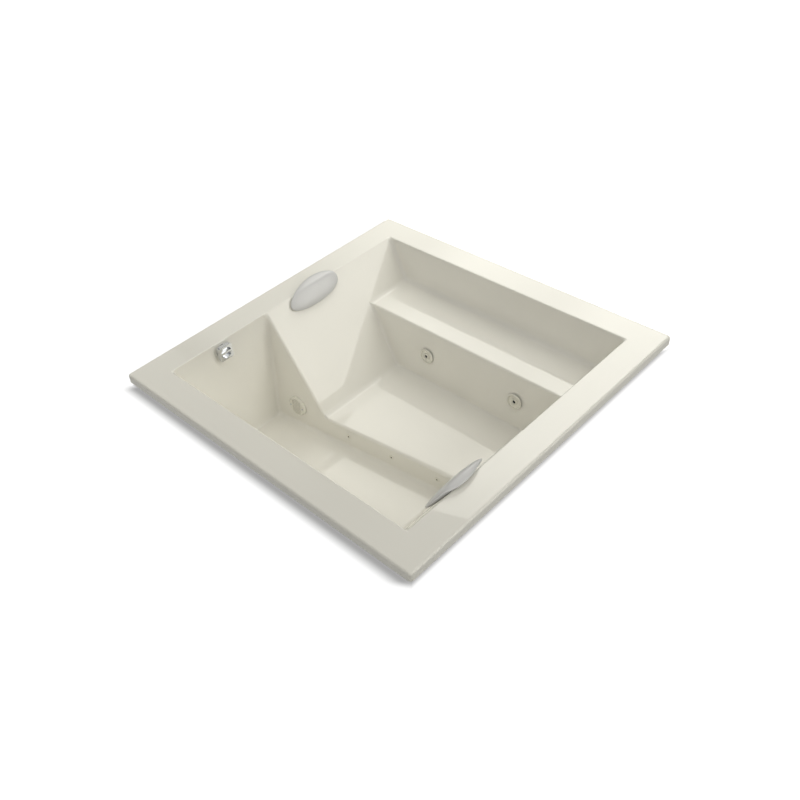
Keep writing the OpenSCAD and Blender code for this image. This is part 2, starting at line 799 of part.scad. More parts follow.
module stopper_cable() {
    y = waste_y + cable_offset;
    top = overflow_depth + overflow_chamber * 0.75;
    color(rubber_black) on_deck() bar_along([
        [waste_x, y, -top],
        [waste_x, y, -cable_depth],
        [drain_x - shoe_radius * 0.75, y, -cable_depth]
    ], cable_radius, cable_bend);
}

// Suction set

suction_flange = 40;
suction_flange_thick = 3;
suction_body_depth = 60;
suction_nut_across = 74;
suction_nut_thick = 12;
module suction_body() {
    color(plastic_white) on_deck() on_divider(suction_x, suction_depth) difference() {
        union() {
            bar(suction_flange, 0, suction_flange_thick);
            bar(suction_barrel, -suction_body_depth, 0);
        }
        bar(suction_barrel - 2 * fitting_wall, -suction_body_depth, suction_flange_thick + overrun);
        bar(suction_radius + run_gap, -suction_body_depth - overrun, -suction_body_depth / 2);
        for (side = [-1, 1])
            translate([side * screw_place, 0, 0]) bar(screw_radius + run_gap, -overrun, overrun);
    }
}
module suction_gasket() {
    color(rubber_black) on_deck() on_divider(suction_x, suction_depth)
        ring(suction_flange, suction_barrel + pass_gap, -shell_wall - gasket_thick, -shell_wall);
}
module suction_nut() {
    low = -shell_wall - gasket_thick - suction_nut_thick;
    color(plastic_white) on_deck() on_divider(suction_x, suction_depth)
        hex_nut(suction_nut_across, suction_barrel + run_gap, low, low + suction_nut_thick);
}
cover_height = 12;
cover_wall = 3;
cover_slot = 4;
cover_slot_pitch = 9;
cover_slot_count = 9;
screw_place = 34;
screw_radius = 2;
screw_head = 3.5;
screw_post = 5;
module suction_cover() {
    inside = cover_radius - cover_wall;
    color(biscuit) on_deck() on_divider(suction_x, suction_depth) difference() {
        union() {
            difference() {
                union() {
                    bar(cover_radius, seat_gap, cover_height / 2);
                    translate([0, 0, cover_height / 2])
                        cylinder(r1 = cover_radius, r2 = cover_radius - cover_height / 2, h = cover_height / 2);
                }
                bar(inside, 0, cover_height - 2 * cover_wall);
                intersection() {
                    bar(inside - cover_height / 2, 0, cover_height + overrun);
                    for (i = [0:cover_slot_count - 1])
                        translate([-screw_place + 2 * screw_post, (i - (cover_slot_count - 1) / 2) * cover_slot_pitch
                            - cover_slot / 2, 0])
                            cube([2 * (screw_place - 2 * screw_post), cover_slot, cover_height + overrun]);
                }
            }
            for (side = [-1, 1])
                translate([side * screw_place, 0, 0])
                    bar(screw_post, suction_flange_thick + seat_gap, cover_height - cover_wall);
        }
        for (side = [-1, 1])
            translate([side * screw_place, 0, 0]) bar(screw_radius + run_gap, 0, cover_height + overrun);
    }
}
module suction_screws() {
    color(steel_grey) on_deck() on_divider(suction_x, suction_depth)
        for (side = [-1, 1]) translate([side * screw_place, 0, 0]) {
            bar(screw_radius, suction_flange_thick / 2, cover_height + seat_gap);
            bar(screw_head, cover_height, cover_height + screw_radius);
        }
}

// Places behind the walls that the pipes run between
function behind_divider(x, depth, back) = [
    x - back * cos(divider_draft) * sin(divider_slant),
    divider_y(x, depth, 0) + back * cos(divider_draft) * cos(divider_slant),
    -depth - back * sin(divider_draft)
];
manifold_y = riser_y(jet_depth, 0) + manifold_back * cos(riser_draft);
manifold_depth = jet_depth + manifold_back * sin(riser_draft);
pump_y = manifold_y + outlet_offset;
outlet_x = pump_x + casing_width / 2;
inlet_length = 45;
suction_bend = 50;
suction_straight = 110;
module suction_pipe() {
    first = behind_divider(suction_x, suction_depth, suction_body_depth * 0.75);
    second = behind_divider(suction_x, suction_depth, suction_straight);
    color(plastic_white) on_deck() pipe_along([
        first,
        second,
        [second[0], pump_y, -pump_depth],
        [pump_x - inlet_length, pump_y, -pump_depth]
    ], suction_radius, pipe_wall, suction_bend);
}

// Bench jets

jet_flange = 30;
jet_flange_thick = 3;
jet_body_depth = 60;
jet_bore = 18;
jet_tail = 15;
jet_tail_end = 82;
jet_socket = 68;
jet_air_port = 7;
jet_air_bore = 4;
air_back = 45;
air_rise = 60;
air_socket = 36;
module jet_bodies() {
    color(plastic_white) on_deck() at_each_jet() difference() {
        union() {
            bar(jet_flange, 0, jet_flange_thick);
            bar(jet_barrel, -jet_body_depth, 0);
            bar(jet_tail, -jet_tail_end + seat_gap, -jet_body_depth);
            translate([0, 0, -air_back]) rotate([-90, 0, 0])
                bar(jet_air_port, 0, air_rise - air_radius - seat_gap);
        }
        bar(jet_bore, -jet_body_depth + fitting_wall, jet_flange_thick + overrun);
        bar(jet_tail - fitting_wall, -jet_tail_end - overrun, 0);
        translate([0, 0, -air_back]) rotate([-90, 0, 0]) bar(jet_air_bore, 0, air_rise);
    }
}
module jet_gaskets() {
    color(rubber_black) on_deck() at_each_jet()
        ring(jet_flange, jet_barrel + pass_gap, -shell_wall - gasket_thick, -shell_wall);
}
jet_nut_across = 62;
jet_nut_thick = 10;
module jet_nuts() {
    low = -shell_wall - gasket_thick - jet_nut_thick;
    color(plastic_white) on_deck() at_each_jet()
        hex_nut(jet_nut_across, jet_barrel + run_gap, low, low + jet_nut_thick);
}
// The ring: a domed collar with a sleeve in the body, and a round seat for the ball
ball_height = 4;
ring_low = 0.5;
ring_base = jet_flange_thick + seat_gap;
ring_top = 11;
ring_shoulder = 20;
sleeve_depth = 20;
module jet_ring() {
    rotate_extrude() difference() {
        polygon([
            [0, -sleeve_depth],
            [jet_bore - run_gap, -sleeve_depth],
            [jet_bore - run_gap, ring_base],
            [jet_flange + seat_gap, ring_base],
            [jet_flange + seat_gap, ring_low],
            [jet_ring_radius, ring_low],
            [jet_ring_radius, ring_base],
            [jet_ring_radius - ring_base, ring_top - ring_base],
            [ring_shoulder + ring_base, ring_top],
            [0, ring_top]
        ]);
        translate([0, -sleeve_depth - overrun]) square([ball_radius - 2, sleeve_depth + overrun]);
        translate([0, ball_height]) intersection() {
            circle(r = ball_radius + 2 * run_gap);
            translate([0, -2 * ball_radius]) square([2 * ball_radius, 4 * ball_radius]);
        }
        translate([0, ball_height]) square([ball_radius - 2, ring_top]);
    }
}
module left_jet_ring() {
    color(biscuit) on_deck() on_riser(jet_x) jet_ring();
}
module right_jet_ring() {
    color(biscuit) on_deck() on_riser(jet_x + jet_spacing) jet_ring();
}
snout_radius = 8;
snout_height = 2;
module jet_nozzle() {
    translate([0, 0, ball_height]) difference() {
        union() {
            sphere(r = ball_radius);
            bar(snout_radius, 0, ball_radius + snout_height);
        }
        bar(nozzle_hole, -2 * ball_radius, 2 * ball_radius);
    }
}
module left_jet_nozzle() {
    color(biscuit) on_deck() on_riser(jet_x) jet_nozzle();
}
module right_jet_nozzle() {
    color(biscuit) on_deck() on_riser(jet_x + jet_spacing) jet_nozzle();
}

// Step jets

step_cap_thick = 2;
step_body_depth = 28;
step_tail = 6;
step_tail_end = 38;
step_back = 45;
step_nut_across = 26;
step_nut_thick = 7;
module step_jets() {
    color(biscuit) on_deck() at_each_step_jet() difference() {
        union() {
            bar(step_cap, 0, step_cap_thick);
            bar(step_barrel, -step_body_depth, 0);
            bar(step_tail, -step_tail_end + seat_gap, -step_body_depth);
        }
        bar(step_hole, -step_tail_end - overrun, step_cap_thick + overrun);
    }
}
module step_jet_nuts() {
    low = -shell_wall - step_nut_thick;
    color(plastic_white) on_deck() at_each_step_jet()
        hex_nut(step_nut_across, step_barrel + run_gap, low, low + step_nut_thick);
}
step_supply_x = step_supply_share * deck_side;
supply_radius = step_pipe_radius - pipe_wall / 2;
module step_manifold() {
    span = (step_jet_count - 1) * step_jet_spacing / cos(divider_slant);
    end = 2 * step_cap;
    start = behind_divider(step_supply_x, step_jet_depth, step_back);
    route = [
        [step_supply_x, start[1], start[2]],
        [step_supply_x, manifold_y, start[2]],
        [step_supply_x, manifold_y, -manifold_depth - manifold_radius - fitting_wall]
    ];
    color(plastic_white) on_deck() difference() {
        union() {
            on_divider(step_jet_x, step_jet_depth) translate([0, 0, -step_back]) rotate([0, 90, 0])
                bar(step_pipe_radius, -end, span + end);
            at_each_step_jet() bar(step_tail + fitting_wall, -step_back, -step_body_depth - step_cap_thick);
            bar_along(route, supply_radius, 2 * step_pipe_radius, 0, pipe_wall);
        }
        on_divider(step_jet_x, step_jet_depth) translate([0, 0, -step_back]) rotate([0, 90, 0])
            bar(step_pipe_radius - pipe_wall, -end + pipe_wall, span + end - pipe_wall);
        at_each_step_jet() bar(step_tail + run_gap, -step_tail_end, -step_body_depth + overrun);
        at_each_step_jet() bar(step_hole, -step_back, -step_body_depth);
        bar_along(concat([route[0], route[1]], [route[2] + [0, 0, overrun]]),
            supply_radius - pipe_wall, 2 * step_pipe_radius);
    }
}

// Water and air manifolds

outlet_height = 92;
manifold_bend = 24;
manifold_end = 45;
module water_manifold() {
    route = [
        [jet_x + jet_spacing + manifold_end, manifold_y, -manifold_depth],
        [outlet_x, manifold_y, -manifold_depth],
        [outlet_x, manifold_y, -pump_depth + outlet_height]
    ];
    inner = manifold_radius - pipe_wall;
    color(plastic_white) on_deck() difference() {
        union() {
            bar_along(route, manifold_radius, manifold_bend, 0, pipe_wall);
            at_each_jet() bar(jet_tail + run_gap + fitting_wall, -manifold_back, -jet_socket);
            translate([step_supply_x, manifold_y, -manifold_depth])
                bar(supply_radius, -manifold_radius - fitting_wall, 0);
        }
        bar_along([
            route[0] - [pipe_wall, 0, 0],
            route[1],
            route[2] - [0, 0, overrun]
        ], inner, manifold_bend);
        at_each_jet() bar(jet_tail + run_gap, -jet_tail_end, -jet_socket + overrun);
        at_each_jet() bar(jet_tail - fitting_wall, -manifold_back, -jet_socket);
        translate([step_supply_x, manifold_y, -manifold_depth])
            bar(supply_radius - pipe_wall, -manifold_radius - fitting_wall - overrun, 0);
    }
}
air_start = 90;
module air_manifold() {
    inner = air_radius - pipe_wall;
    color(plastic_white) on_deck() on_riser(jet_x) translate([0, air_rise, -air_back]) difference() {
        union() {
            rotate([0, 90, 0]) bar(air_radius, -air_start, jet_spacing + manifold_end);
            for (i = [0, 1]) translate([i * jet_spacing, 0, 0]) rotate([90, 0, 0])
                bar(jet_air_port + run_gap + pipe_wall, 0, air_rise - air_socket);
        }
        rotate([0, 90, 0]) bar(inner, -air_start - overrun, jet_spacing + manifold_end - pipe_wall);
        for (i = [0, 1]) translate([i * jet_spacing, 0, 0]) rotate([90, 0, 0]) {
            bar(jet_air_port + run_gap, air_radius, air_rise);
            bar(jet_air_bore, 0, air_rise);
        }
    }
}
inlet_cap_radius = 20;
inlet_cap_length = 46;
inlet_rib_count = 4;
module air_inlet() {
    color(plastic_dark) on_deck() on_riser(jet_x) translate([-air_start, air_rise, -air_back])
        rotate([0, -90, 0]) difference() {
            union() {
                bar(inlet_cap_radius, 0, inlet_cap_length);
                bar(air_radius + pipe_wall, -inlet_cap_radius, 0);
            }
            bar(air_radius + run_gap, -inlet_cap_radius - overrun, fitting_wall);
            bar(inlet_cap_radius - fitting_wall, fitting_wall, inlet_cap_length - fitting_wall);
            for (i = [0:inlet_rib_count - 1])
                translate([0, 0, inlet_cap_length * (i + 1.5) / (inlet_rib_count + 2)])
                    cube([4 * inlet_cap_radius, inlet_cap_radius, fitting_wall], center = true);
        }
}

// Pump: z runs along the shaft from the casing's face to the fan

module at_pump() {
    on_deck() translate([pump_x, pump_y, -pump_depth]) rotate([0, 90, 0]) children();
}
inlet_radius = suction_radius;
casing_wall = 6;
plate_thick = 8;
union_thick = 22;
union_wall = 9;
impeller_radius = 52;
impeller_gap = 4;
seal_length = 10;
shield_thick = 16;
bearing_radius = 20;
bearing_thick = 12;
housing_wall = 4;
rotor_radius = 38;
rotor_length = 100;
air_gap = 0.5;
fan_thick = 14;
fan_room = 28;
front_shield = casing_width + plate_thick;
housing_start = front_shield + shield_thick;
housing_end = housing_start + motor_length;
fan_end = housing_end + shield_thick + fan_room;
module outlet_frame() {
    translate([0, -outlet_offset, casing_width / 2]) rotate([0, -90, 0]) children();
}
module pump_casing() {
    color(plastic_dark) at_pump() {
        difference() {
            union() {
                bar(casing_radius, 0, casing_width);
                bar(inlet_radius, -inlet_length, 0);
                outlet_frame() bar(manifold_radius, 0, outlet_height);
            }
            bar(casing_radius - casing_wall, casing_wall, casing_width + overrun);
            bar(inlet_radius - pipe_wall, -inlet_length - overrun, casing_wall + overrun);
            outlet_frame() bar(manifold_radius - pipe_wall, 0, outlet_height + overrun);
        }
    }
}
module pump_unions() {
    color(plastic_dark) at_pump() {
        ring(inlet_radius + union_wall, inlet_radius + pass_gap, -inlet_length, -inlet_length + union_thick);
        outlet_frame() ring(manifold_radius + union_wall, manifold_radius + pass_gap,
            outlet_height - union_thick, outlet_height);
    }
}
module pump_back_plate() {
    color(plastic_dark) at_pump()
        ring(casing_radius, shaft_radius + seal_length / 2 + run_gap, casing_width, front_shield);
}
module shaft_seal() {
    color(rubber_black) at_pump()
        ring(shaft_radius + seal_length / 2, shaft_radius + run_gap, front_shield - seal_length, front_shield);
}
vane_count = 6;
vane_thick = 3;
vane_height = 14;
disc_thick = 4;
hub_radius = 13;
module impeller() {
    low = casing_wall + impeller_gap;
    color(plastic_white) at_pump() difference() {
        union() {
            bar(impeller_radius, low + vane_height, low + vane_height + disc_thick);
            bar(hub_radius, low, low + vane_height);
            for (i = [0:vane_count - 1]) rotate([0, 0, i * 360 / vane_count])
                translate([0, hub_radius - 2 * vane_thick, low])
                    cube([impeller_radius - vane_thick, vane_thick, vane_height]);
        }
        bar(shaft_radius + run_gap, low + disc_thick, low + vane_height + disc_thick + overrun);
    }
}
shaft_start = casing_wall + impeller_gap + disc_thick;
module motor_shaft() {
    color(steel_grey) at_pump()
        bar(shaft_radius, shaft_start + seat_gap, housing_end + shield_thick + fan_thick);
}
rotor_start = housing_start + (motor_length - rotor_length) / 2;
rib_count = 20;
rib_height = 3;
rib_width = 3;
housing_bore = motor_radius - rib_height - housing_wall;
module motor_rotor() {
    color(steel_grey) at_pump()
        ring(rotor_radius, shaft_radius + run_gap, rotor_start, rotor_start + rotor_length);
}
module motor_stator() {
    color(steel_grey) at_pump()
        ring(housing_bore - run_gap, rotor_radius + air_gap, rotor_start,
            rotor_start + rotor_length);
}
module motor_bearings() {
    color(steel_grey) at_pump() for (low = [front_shield + shield_thick - bearing_thick, housing_end])
        ring(bearing_radius, shaft_radius + run_gap, low, low + bearing_thick);
}
module motor_housing() {
    color(motor_blue) at_pump() difference() {
        union() {
            bar(motor_radius - rib_height, housing_start, housing_end);
            for (i = [0:rib_count - 1]) rotate([0, 0, (i + 0.5) * 360 / rib_count])
                translate([motor_radius - 2 * rib_height, -rib_width / 2, housing_start + 2 * rib_width])
                    cube([2 * rib_height, rib_width, motor_length - 4 * rib_width]);
        }
        bar(housing_bore, housing_start - overrun, housing_end + overrun);
    }
}
module motor_end_shields() {
    seat = bearing_radius + run_gap;
    shaft_hole = shaft_radius + 2 * air_gap;
    color(motor_blue) at_pump() {
        difference() {
            bar(motor_radius, front_shield, housing_start);
            bar(seat, housing_start - bearing_thick, housing_start + overrun);
            bar(shaft_hole, front_shield - overrun, housing_start);
        }
        difference() {
            bar(motor_radius, housing_end, housing_end + shield_thick);
            bar(seat, housing_end - overrun, housing_end + bearing_thick);
            bar(shaft_hole, housing_end, housing_end + shield_thick + overrun);
        }
    }
}
blade_count = 7;
blade_thick = 2;
fan_radius = 58;
fan_hub = 14;
module cooling_fan() {
    low = housing_end + shield_thick + air_gap;
    color(plastic_dark) at_pump() difference() {
        union() {
            bar(fan_hub, low, low + fan_thick);
            bar(fan_radius, low, low + blade_thick);
            for (i = [0:blade_count - 1]) rotate([0, 0, i * 360 / blade_count])
                translate([0, -blade_thick / 2, low]) cube([fan_radius - blade_thick, blade_thick, fan_thick]);
        }
        bar(shaft_radius + run_gap, low - overrun, low + fan_thick + overrun);
    }
}
cowl_wall = 2;
cowl_slot = 5;
cowl_slot_count = 7;
module fan_cover() {
    low = housing_end + shield_thick;
    color(plastic_dark) at_pump() difference() {
        bar(motor_radius, low, fan_end);
        bar(motor_radius - cowl_wall, low - overrun, fan_end - cowl_wall);
        for (i = [0:cowl_slot_count - 1])
            translate([-motor_radius / 2, (i - (cowl_slot_count - 1) / 2) * 2 * cowl_slot - cowl_slot / 2,
                fan_end - 2 * cowl_wall])
                cube([motor_radius, cowl_slot, 4 * cowl_wall]);
    }
}
box_length = 90;
box_height = 62;
box_depth = 40;
box_wall = 3;
gland_radius = 10;
gland_length = 22;
cord_radius = 4.5;
module terminal_box() {
    seat = motor_radius - rib_height / 2;
    start = housing_start + (motor_length - box_length) / 2;
    color(plastic_dark) at_pump() difference() {
        translate([-box_height / 2, seat - box_depth / 4, start]) cube([box_height, box_depth * 1.25, box_length]);
        translate([-box_height / 2 + box_wall, seat, start + box_wall])
            cube([box_height - 2 * box_wall, box_depth - box_wall, box_length - 2 * box_wall]);
        bar(motor_radius + seat_gap, housing_start - overrun, housing_end + overrun);
        translate([0, seat + box_depth - 2 * box_wall, start + box_length / 2]) rotate([-90, 0, 0])
            bar(gland_radius - box_wall + run_gap, 0, box_wall + 2 * overrun);
    }
}
module cable_gland() {
    outside = motor_radius - rib_height / 2 + box_depth;
    middle = housing_start + motor_length / 2;
    color(plastic_dark) at_pump() translate([0, outside, middle]) rotate([-90, 0, 0]) difference() {
        union() {
            cylinder(r = gland_radius, h = gland_length / 2, $fn = 6);
            bar(gland_radius - box_wall, -box_wall - overrun, gland_length);
        }
        bar(cord_radius, -box_wall - 2 * overrun, gland_length + overrun);
    }
}
bracket_length = 110;
bracket_width = 120;
bracket_sheet = 4;
isolator_height = 12;
isolator_radius = 10;
saddle_width = 70;
bracket_low = board_top - pump_depth - isolator_height;
module at_each_isolator() {
    middle = housing_start + motor_length / 2;
    for (side = [-1, 1], end = [-1, 1])
        translate([0, side * (bracket_width / 2 - isolator_radius),
            middle + end * (bracket_length / 2 - isolator_radius)]) children();
}
module pump_bracket() {
    start = housing_start + (motor_length - bracket_length) / 2;
    color(steel_grey) at_pump() difference() {
        union() {
            translate([bracket_low - bracket_sheet, -bracket_width / 2, start])
                cube([bracket_sheet, bracket_width, bracket_length]);
            translate([motor_radius / 2, -saddle_width / 2, start])
                cube([bracket_low - motor_radius / 2, saddle_width, bracket_length]);
        }
        bar(motor_radius + seat_gap, housing_start - overrun, housing_end + overrun);
    }
}
module pump_isolators() {
    color(rubber_black) at_pump() at_each_isolator()
        translate([bracket_low, 0, 0]) rotate([0, 90, 0]) bar(isolator_radius, 0, isolator_height);
}

tub_shell();
rim_battens();
base_board();
lounge_bearers();
bench_posts();
support_rails();
foot_studs();
foot_pads();
left_pillow();
right_pillow();
overflow_body();
overflow_gasket();
overflow_flange();
knob_spindle();
overflow_knob();
overflow_pipe();
waste_tee();
shoe_pipe();
slip_nuts();
drain_shoe();
drain_gasket();
drain_flange();
drain_stopper();
stopper_cable();
suction_body();
suction_gasket();
suction_nut();
suction_cover();
suction_screws();
suction_pipe();
jet_bodies();
jet_gaskets();
jet_nuts();
left_jet_ring();
right_jet_ring();
left_jet_nozzle();
right_jet_nozzle();
step_jets();
step_jet_nuts();
step_manifold();
water_manifold();
air_manifold();
air_inlet();
pump_casing();
pump_back_plate();
shaft_seal();
impeller();
motor_shaft();
motor_rotor();
motor_stator();
motor_bearings();
motor_housing();
motor_end_shields();
cooling_fan();
fan_cover();
terminal_box();
cable_gland();
pump_bracket();
pump_isolators();
pump_unions();
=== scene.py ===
"""Looks of the drop-in jetted bath: materials, finer shell, pillows and jets, light and camera."""

import json
import math

import bmesh
import bpy
import numpy as np
from mathutils import Matrix, Quaternion, Vector


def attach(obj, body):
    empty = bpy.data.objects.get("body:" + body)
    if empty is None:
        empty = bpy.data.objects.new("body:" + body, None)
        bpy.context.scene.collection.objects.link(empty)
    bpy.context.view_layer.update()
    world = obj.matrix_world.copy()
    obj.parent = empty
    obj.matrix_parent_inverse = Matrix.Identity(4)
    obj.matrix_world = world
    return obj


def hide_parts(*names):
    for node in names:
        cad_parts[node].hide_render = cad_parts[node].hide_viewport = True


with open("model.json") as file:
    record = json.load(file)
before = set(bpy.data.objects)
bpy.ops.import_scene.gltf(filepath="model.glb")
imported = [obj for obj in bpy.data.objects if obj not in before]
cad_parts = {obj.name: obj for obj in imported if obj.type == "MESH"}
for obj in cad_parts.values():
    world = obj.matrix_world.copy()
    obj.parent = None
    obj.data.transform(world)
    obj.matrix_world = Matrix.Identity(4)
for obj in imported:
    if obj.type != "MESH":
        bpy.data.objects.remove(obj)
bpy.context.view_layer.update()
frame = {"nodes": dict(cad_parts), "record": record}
nodes = frame["nodes"]
scene = bpy.context.scene

# Sizes of the part, in millimetres on the deck's own axes, with depths down from the deck
SIDE = 1524
HEIGHT = 610
RIM = 127
LIP = 36
CORNER = 14
EDGE = 9
WALL = 7
FOOTWELL = 541
LOUNGE = 436
BENCH = 178
BENCH_FRONT = 1131
DIVIDER_START = 624
LEFT_RECLINE = 34
RIGHT_RECLINE = 32
DIVIDER_SLANT = 6.35
DIVIDER_DRAFT = 3.8
WEDGE_DRAFT = 0.5
LEFT_DRAFT = 1.4
PLAIN_DRAFT = 3
REAR_DRAFT = 8.25
RISER_DRAFT = 7


def sine(degrees):
    return math.sin(math.radians(degrees))


def cosine(degrees):
    return math.cos(math.radians(degrees))


def tangent(degrees):
    return math.tan(math.radians(degrees))


def place(x, y, depth):
    """A point of the deck's axes in the model's frame, in metres."""
    return Vector((x - SIDE / 2, y - SIDE / 2, HEIGHT - depth)) / 1000


def srgb(red, green, blue):
    """A colour given in 0 to 255 as the linear values that a shader takes."""
    values = []
    for channel in (red, green, blue):
        share = channel / 255
        values.append(share / 12.92 if share <= 0.04045 else ((share + 0.055) / 1.055) ** 2.4)
    return (*values, 1.0)


# Materials

# Most values of a noise lie between these two
NOISE_LOW = 0.3
NOISE_HIGH = 0.7


class Paint:
    """A node material with one Principled shader, and short ways to build up its look."""

    def __init__(self, name, metallic=0.0):
        self.material = bpy.data.materials.new(name)
        self.material.use_nodes = True
        self.tree = self.material.node_tree
        self.shader = self.tree.nodes["Principled BSDF"]
        self.set("Metallic", metallic)
        self.bumps = None
        self.points = self.add("ShaderNodeTexCoord").outputs["Object"]

    def add(self, kind):
        return self.tree.nodes.new(kind)

    def set(self, socket, value):
        self.shader.inputs[socket].default_value = value

    def link(self, output, target):
        self.tree.links.new(output, target)

    def noise(self, scale, detail, stretch=(1, 1, 1)):
        """Soft noise; a small stretch along an axis makes its spots long that way."""
        spread = self.add("ShaderNodeMapping")
        spread.inputs["Scale"].default_value = stretch
        self.link(self.points, spread.inputs["Vector"])
        node = self.add("ShaderNodeTexNoise")
        node.inputs["Scale"].default_value = scale
        node.inputs["Detail"].default_value = detail
        self.link(spread.outputs["Vector"], node.inputs["Vector"])
        return node.outputs["Fac"]

    def bands(self, scale, direction, distort, detail):
        """Parallel bands across a direction, for wood grain and stacked sheets."""
        node = self.add("ShaderNodeTexWave")
        node.bands_direction = direction
        node.inputs["Scale"].default_value = scale
        node.inputs["Distortion"].default_value = distort
        node.inputs["Detail"].default_value = detail
        self.link(self.points, node.inputs["Vector"])
        return node.outputs["Fac"]

    def cells(self, scale):
        node = self.add("ShaderNodeTexVoronoi")
        node.inputs["Scale"].default_value = scale
        self.link(self.points, node.inputs["Vector"])
        return node.outputs["Distance"]

    def tint(self, value, dark, light, low=NOISE_LOW, high=NOISE_HIGH):
        """Colours from dark to light, as a value goes from low to high."""
        ramp = self.add("ShaderNodeValToRGB")
        ramp.color_ramp.elements[0].position = low
        ramp.color_ramp.elements[0].color = dark
        ramp.color_ramp.elements[1].position = high
        ramp.color_ramp.elements[1].color = light
        self.link(value, ramp.inputs["Fac"])
        self.link(ramp.outputs["Color"], self.shader.inputs["Base Color"])

    def rough(self, value, low, high):
        """Roughness from low to high, as a noise goes over its usual values."""
        spread = self.add("ShaderNodeMapRange")
        spread.inputs["From Min"].default_value = NOISE_LOW
        spread.inputs["From Max"].default_value = NOISE_HIGH
        spread.inputs["To Min"].default_value = low
        spread.inputs["To Max"].default_value = high
        self.link(value, spread.inputs["Value"])
        self.link(spread.outputs["Result"], self.shader.inputs["Roughness"])

    def bump(self, value, depth, strength):
        """Relief of a depth in metres, on top of the relief so far."""
        node = self.add("ShaderNodeBump")
        node.inputs["Strength"].default_value = strength
        node.inputs["Distance"].default_value = depth
        self.link(value, node.inputs["Height"])
        if self.bumps is not None:
            self.link(self.bumps, node.inputs["Normal"])
        self.bumps = node.outputs["Normal"]
        self.link(self.bumps, self.shader.inputs["Normal"])


def shades(colour, share):
    """A darker and a lighter neighbour of a colour."""
    dark = tuple(channel * (1 - share) for channel in colour[:3])
    light = tuple(min(1, channel * (1 + share)) for channel in colour[:3])
    return (*dark, 1.0), (*light, 1.0)


def acrylic_paint():
    colour = srgb(243, 241, 234)
    paint = Paint("acrylic_biscuit")
    paint.tint(paint.noise(scale=2.5, detail=2.0), *shades(colour, share=0.012))
    paint.rough(paint.noise(scale=9.0, detail=3.0), low=0.012, high=0.03)
    paint.bump(paint.noise(scale=7.0, detail=1.0), depth=0.0006, strength=0.04)
    paint.bump(paint.noise(scale=420.0, detail=2.0), depth=0.00001, strength=0.1)
    paint.set("IOR", 1.49)
    return paint.material


def fitting_paint():
    colour = srgb(238, 236, 226)
    paint = Paint("fitting_biscuit")
    paint.tint(paint.noise(scale=40.0, detail=2.0), *shades(colour, share=0.015))
    paint.rough(paint.noise(scale=90.0, detail=3.0), low=0.18, high=0.28)
    paint.bump(paint.noise(scale=1500.0, detail=2.0), depth=0.00003, strength=0.3)
    paint.set("IOR", 1.49)
    return paint.material


def pillow_paint():
    colour = srgb(217, 217, 218)
    paint = Paint("pillow_skin")
    paint.tint(paint.noise(scale=16.0, detail=3.0), *shades(colour, share=0.02))
    paint.rough(paint.noise(scale=30.0, detail=3.0), low=0.28, high=0.38)
    paint.bump(paint.cells(900.0), depth=0.00012, strength=0.35)
    paint.bump(paint.noise(scale=26.0, detail=2.0), depth=0.0012, strength=0.12)
    paint.set("Coat Weight", 0.3)
    paint.set("Coat Roughness", 0.18)
    return paint.material


def metal_paint(name, colour, low, high, scale, stretch=(1, 1, 1)):
    """Bare metal with a grain, its roughness between low and high."""
    paint = Paint(name, metallic=1.0)
    grain = paint.noise(scale=scale, detail=4.0, stretch=stretch)
    paint.tint(grain, *shades(colour, share=0.05))
    paint.rough(grain, low, high)
    paint.bump(grain, depth=0.00002, strength=0.2)
    return paint.material


def plastic_paint(name, colour, low, high, grain=1100.0):
    """Moulded plastic with a fine grain, its roughness between low and high."""
    paint = Paint(name)
    paint.tint(paint.noise(scale=22.0, detail=3.0), *shades(colour, share=0.05))
    paint.rough(paint.noise(scale=60.0, detail=3.0), low, high)
    paint.bump(paint.noise(scale=grain, detail=3.0), depth=0.00005, strength=0.4)
    return paint.material


def timber_paint():
    paint = Paint("timber")
    grain = paint.bands(scale=16.0, direction="Y", distort=7.0, detail=3.0)
    paint.tint(grain, srgb(168, 128, 84), srgb(206, 170, 122), low=0.1, high=0.9)
    paint.rough(paint.noise(scale=120.0, detail=4.0, stretch=(0.2, 1, 1)), low=0.5, high=0.72)
    paint.bump(grain, depth=0.0002, strength=0.3)
    paint.bump(paint.noise(scale=500.0, detail=3.0, stretch=(0.08, 1, 1)), depth=0.0002, strength=0.4)
    return paint.material


def rubber_paint():
    colour = srgb(34, 34, 35)
    paint = Paint("black_rubber")
    paint.tint(paint.noise(scale=45.0, detail=3.0), *shades(colour, share=0.2))
    paint.rough(paint.noise(scale=70.0, detail=3.0), low=0.55, high=0.72)
    paint.bump(paint.noise(scale=1300.0, detail=3.0), depth=0.00008, strength=0.5)
    return paint.material


def enamel_paint():
    colour = srgb(78, 92, 112)
    paint = Paint("motor_enamel")
    paint.tint(paint.noise(scale=30.0, detail=3.0), *shades(colour, share=0.06))
    paint.rough(paint.noise(scale=50.0, detail=3.0), low=0.26, high=0.4)
    paint.bump(paint.noise(scale=260.0, detail=2.0), depth=0.0002, strength=0.25)
    paint.set("Coat Weight", 0.4)
    paint.set("Coat Roughness", 0.15)
    return paint.material


def core_paint():
    paint = Paint("core_steel", metallic=1.0)
    sheets = paint.bands(scale=160.0, direction="X", distort=0.0, detail=0.0)
    paint.tint(sheets, srgb(84, 86, 90), srgb(140, 142, 146), low=0.2, high=0.8)
    paint.rough(paint.noise(scale=80.0, detail=3.0), low=0.35, high=0.5)
    paint.bump(sheets, depth=0.0001, strength=0.5)
    return paint.material


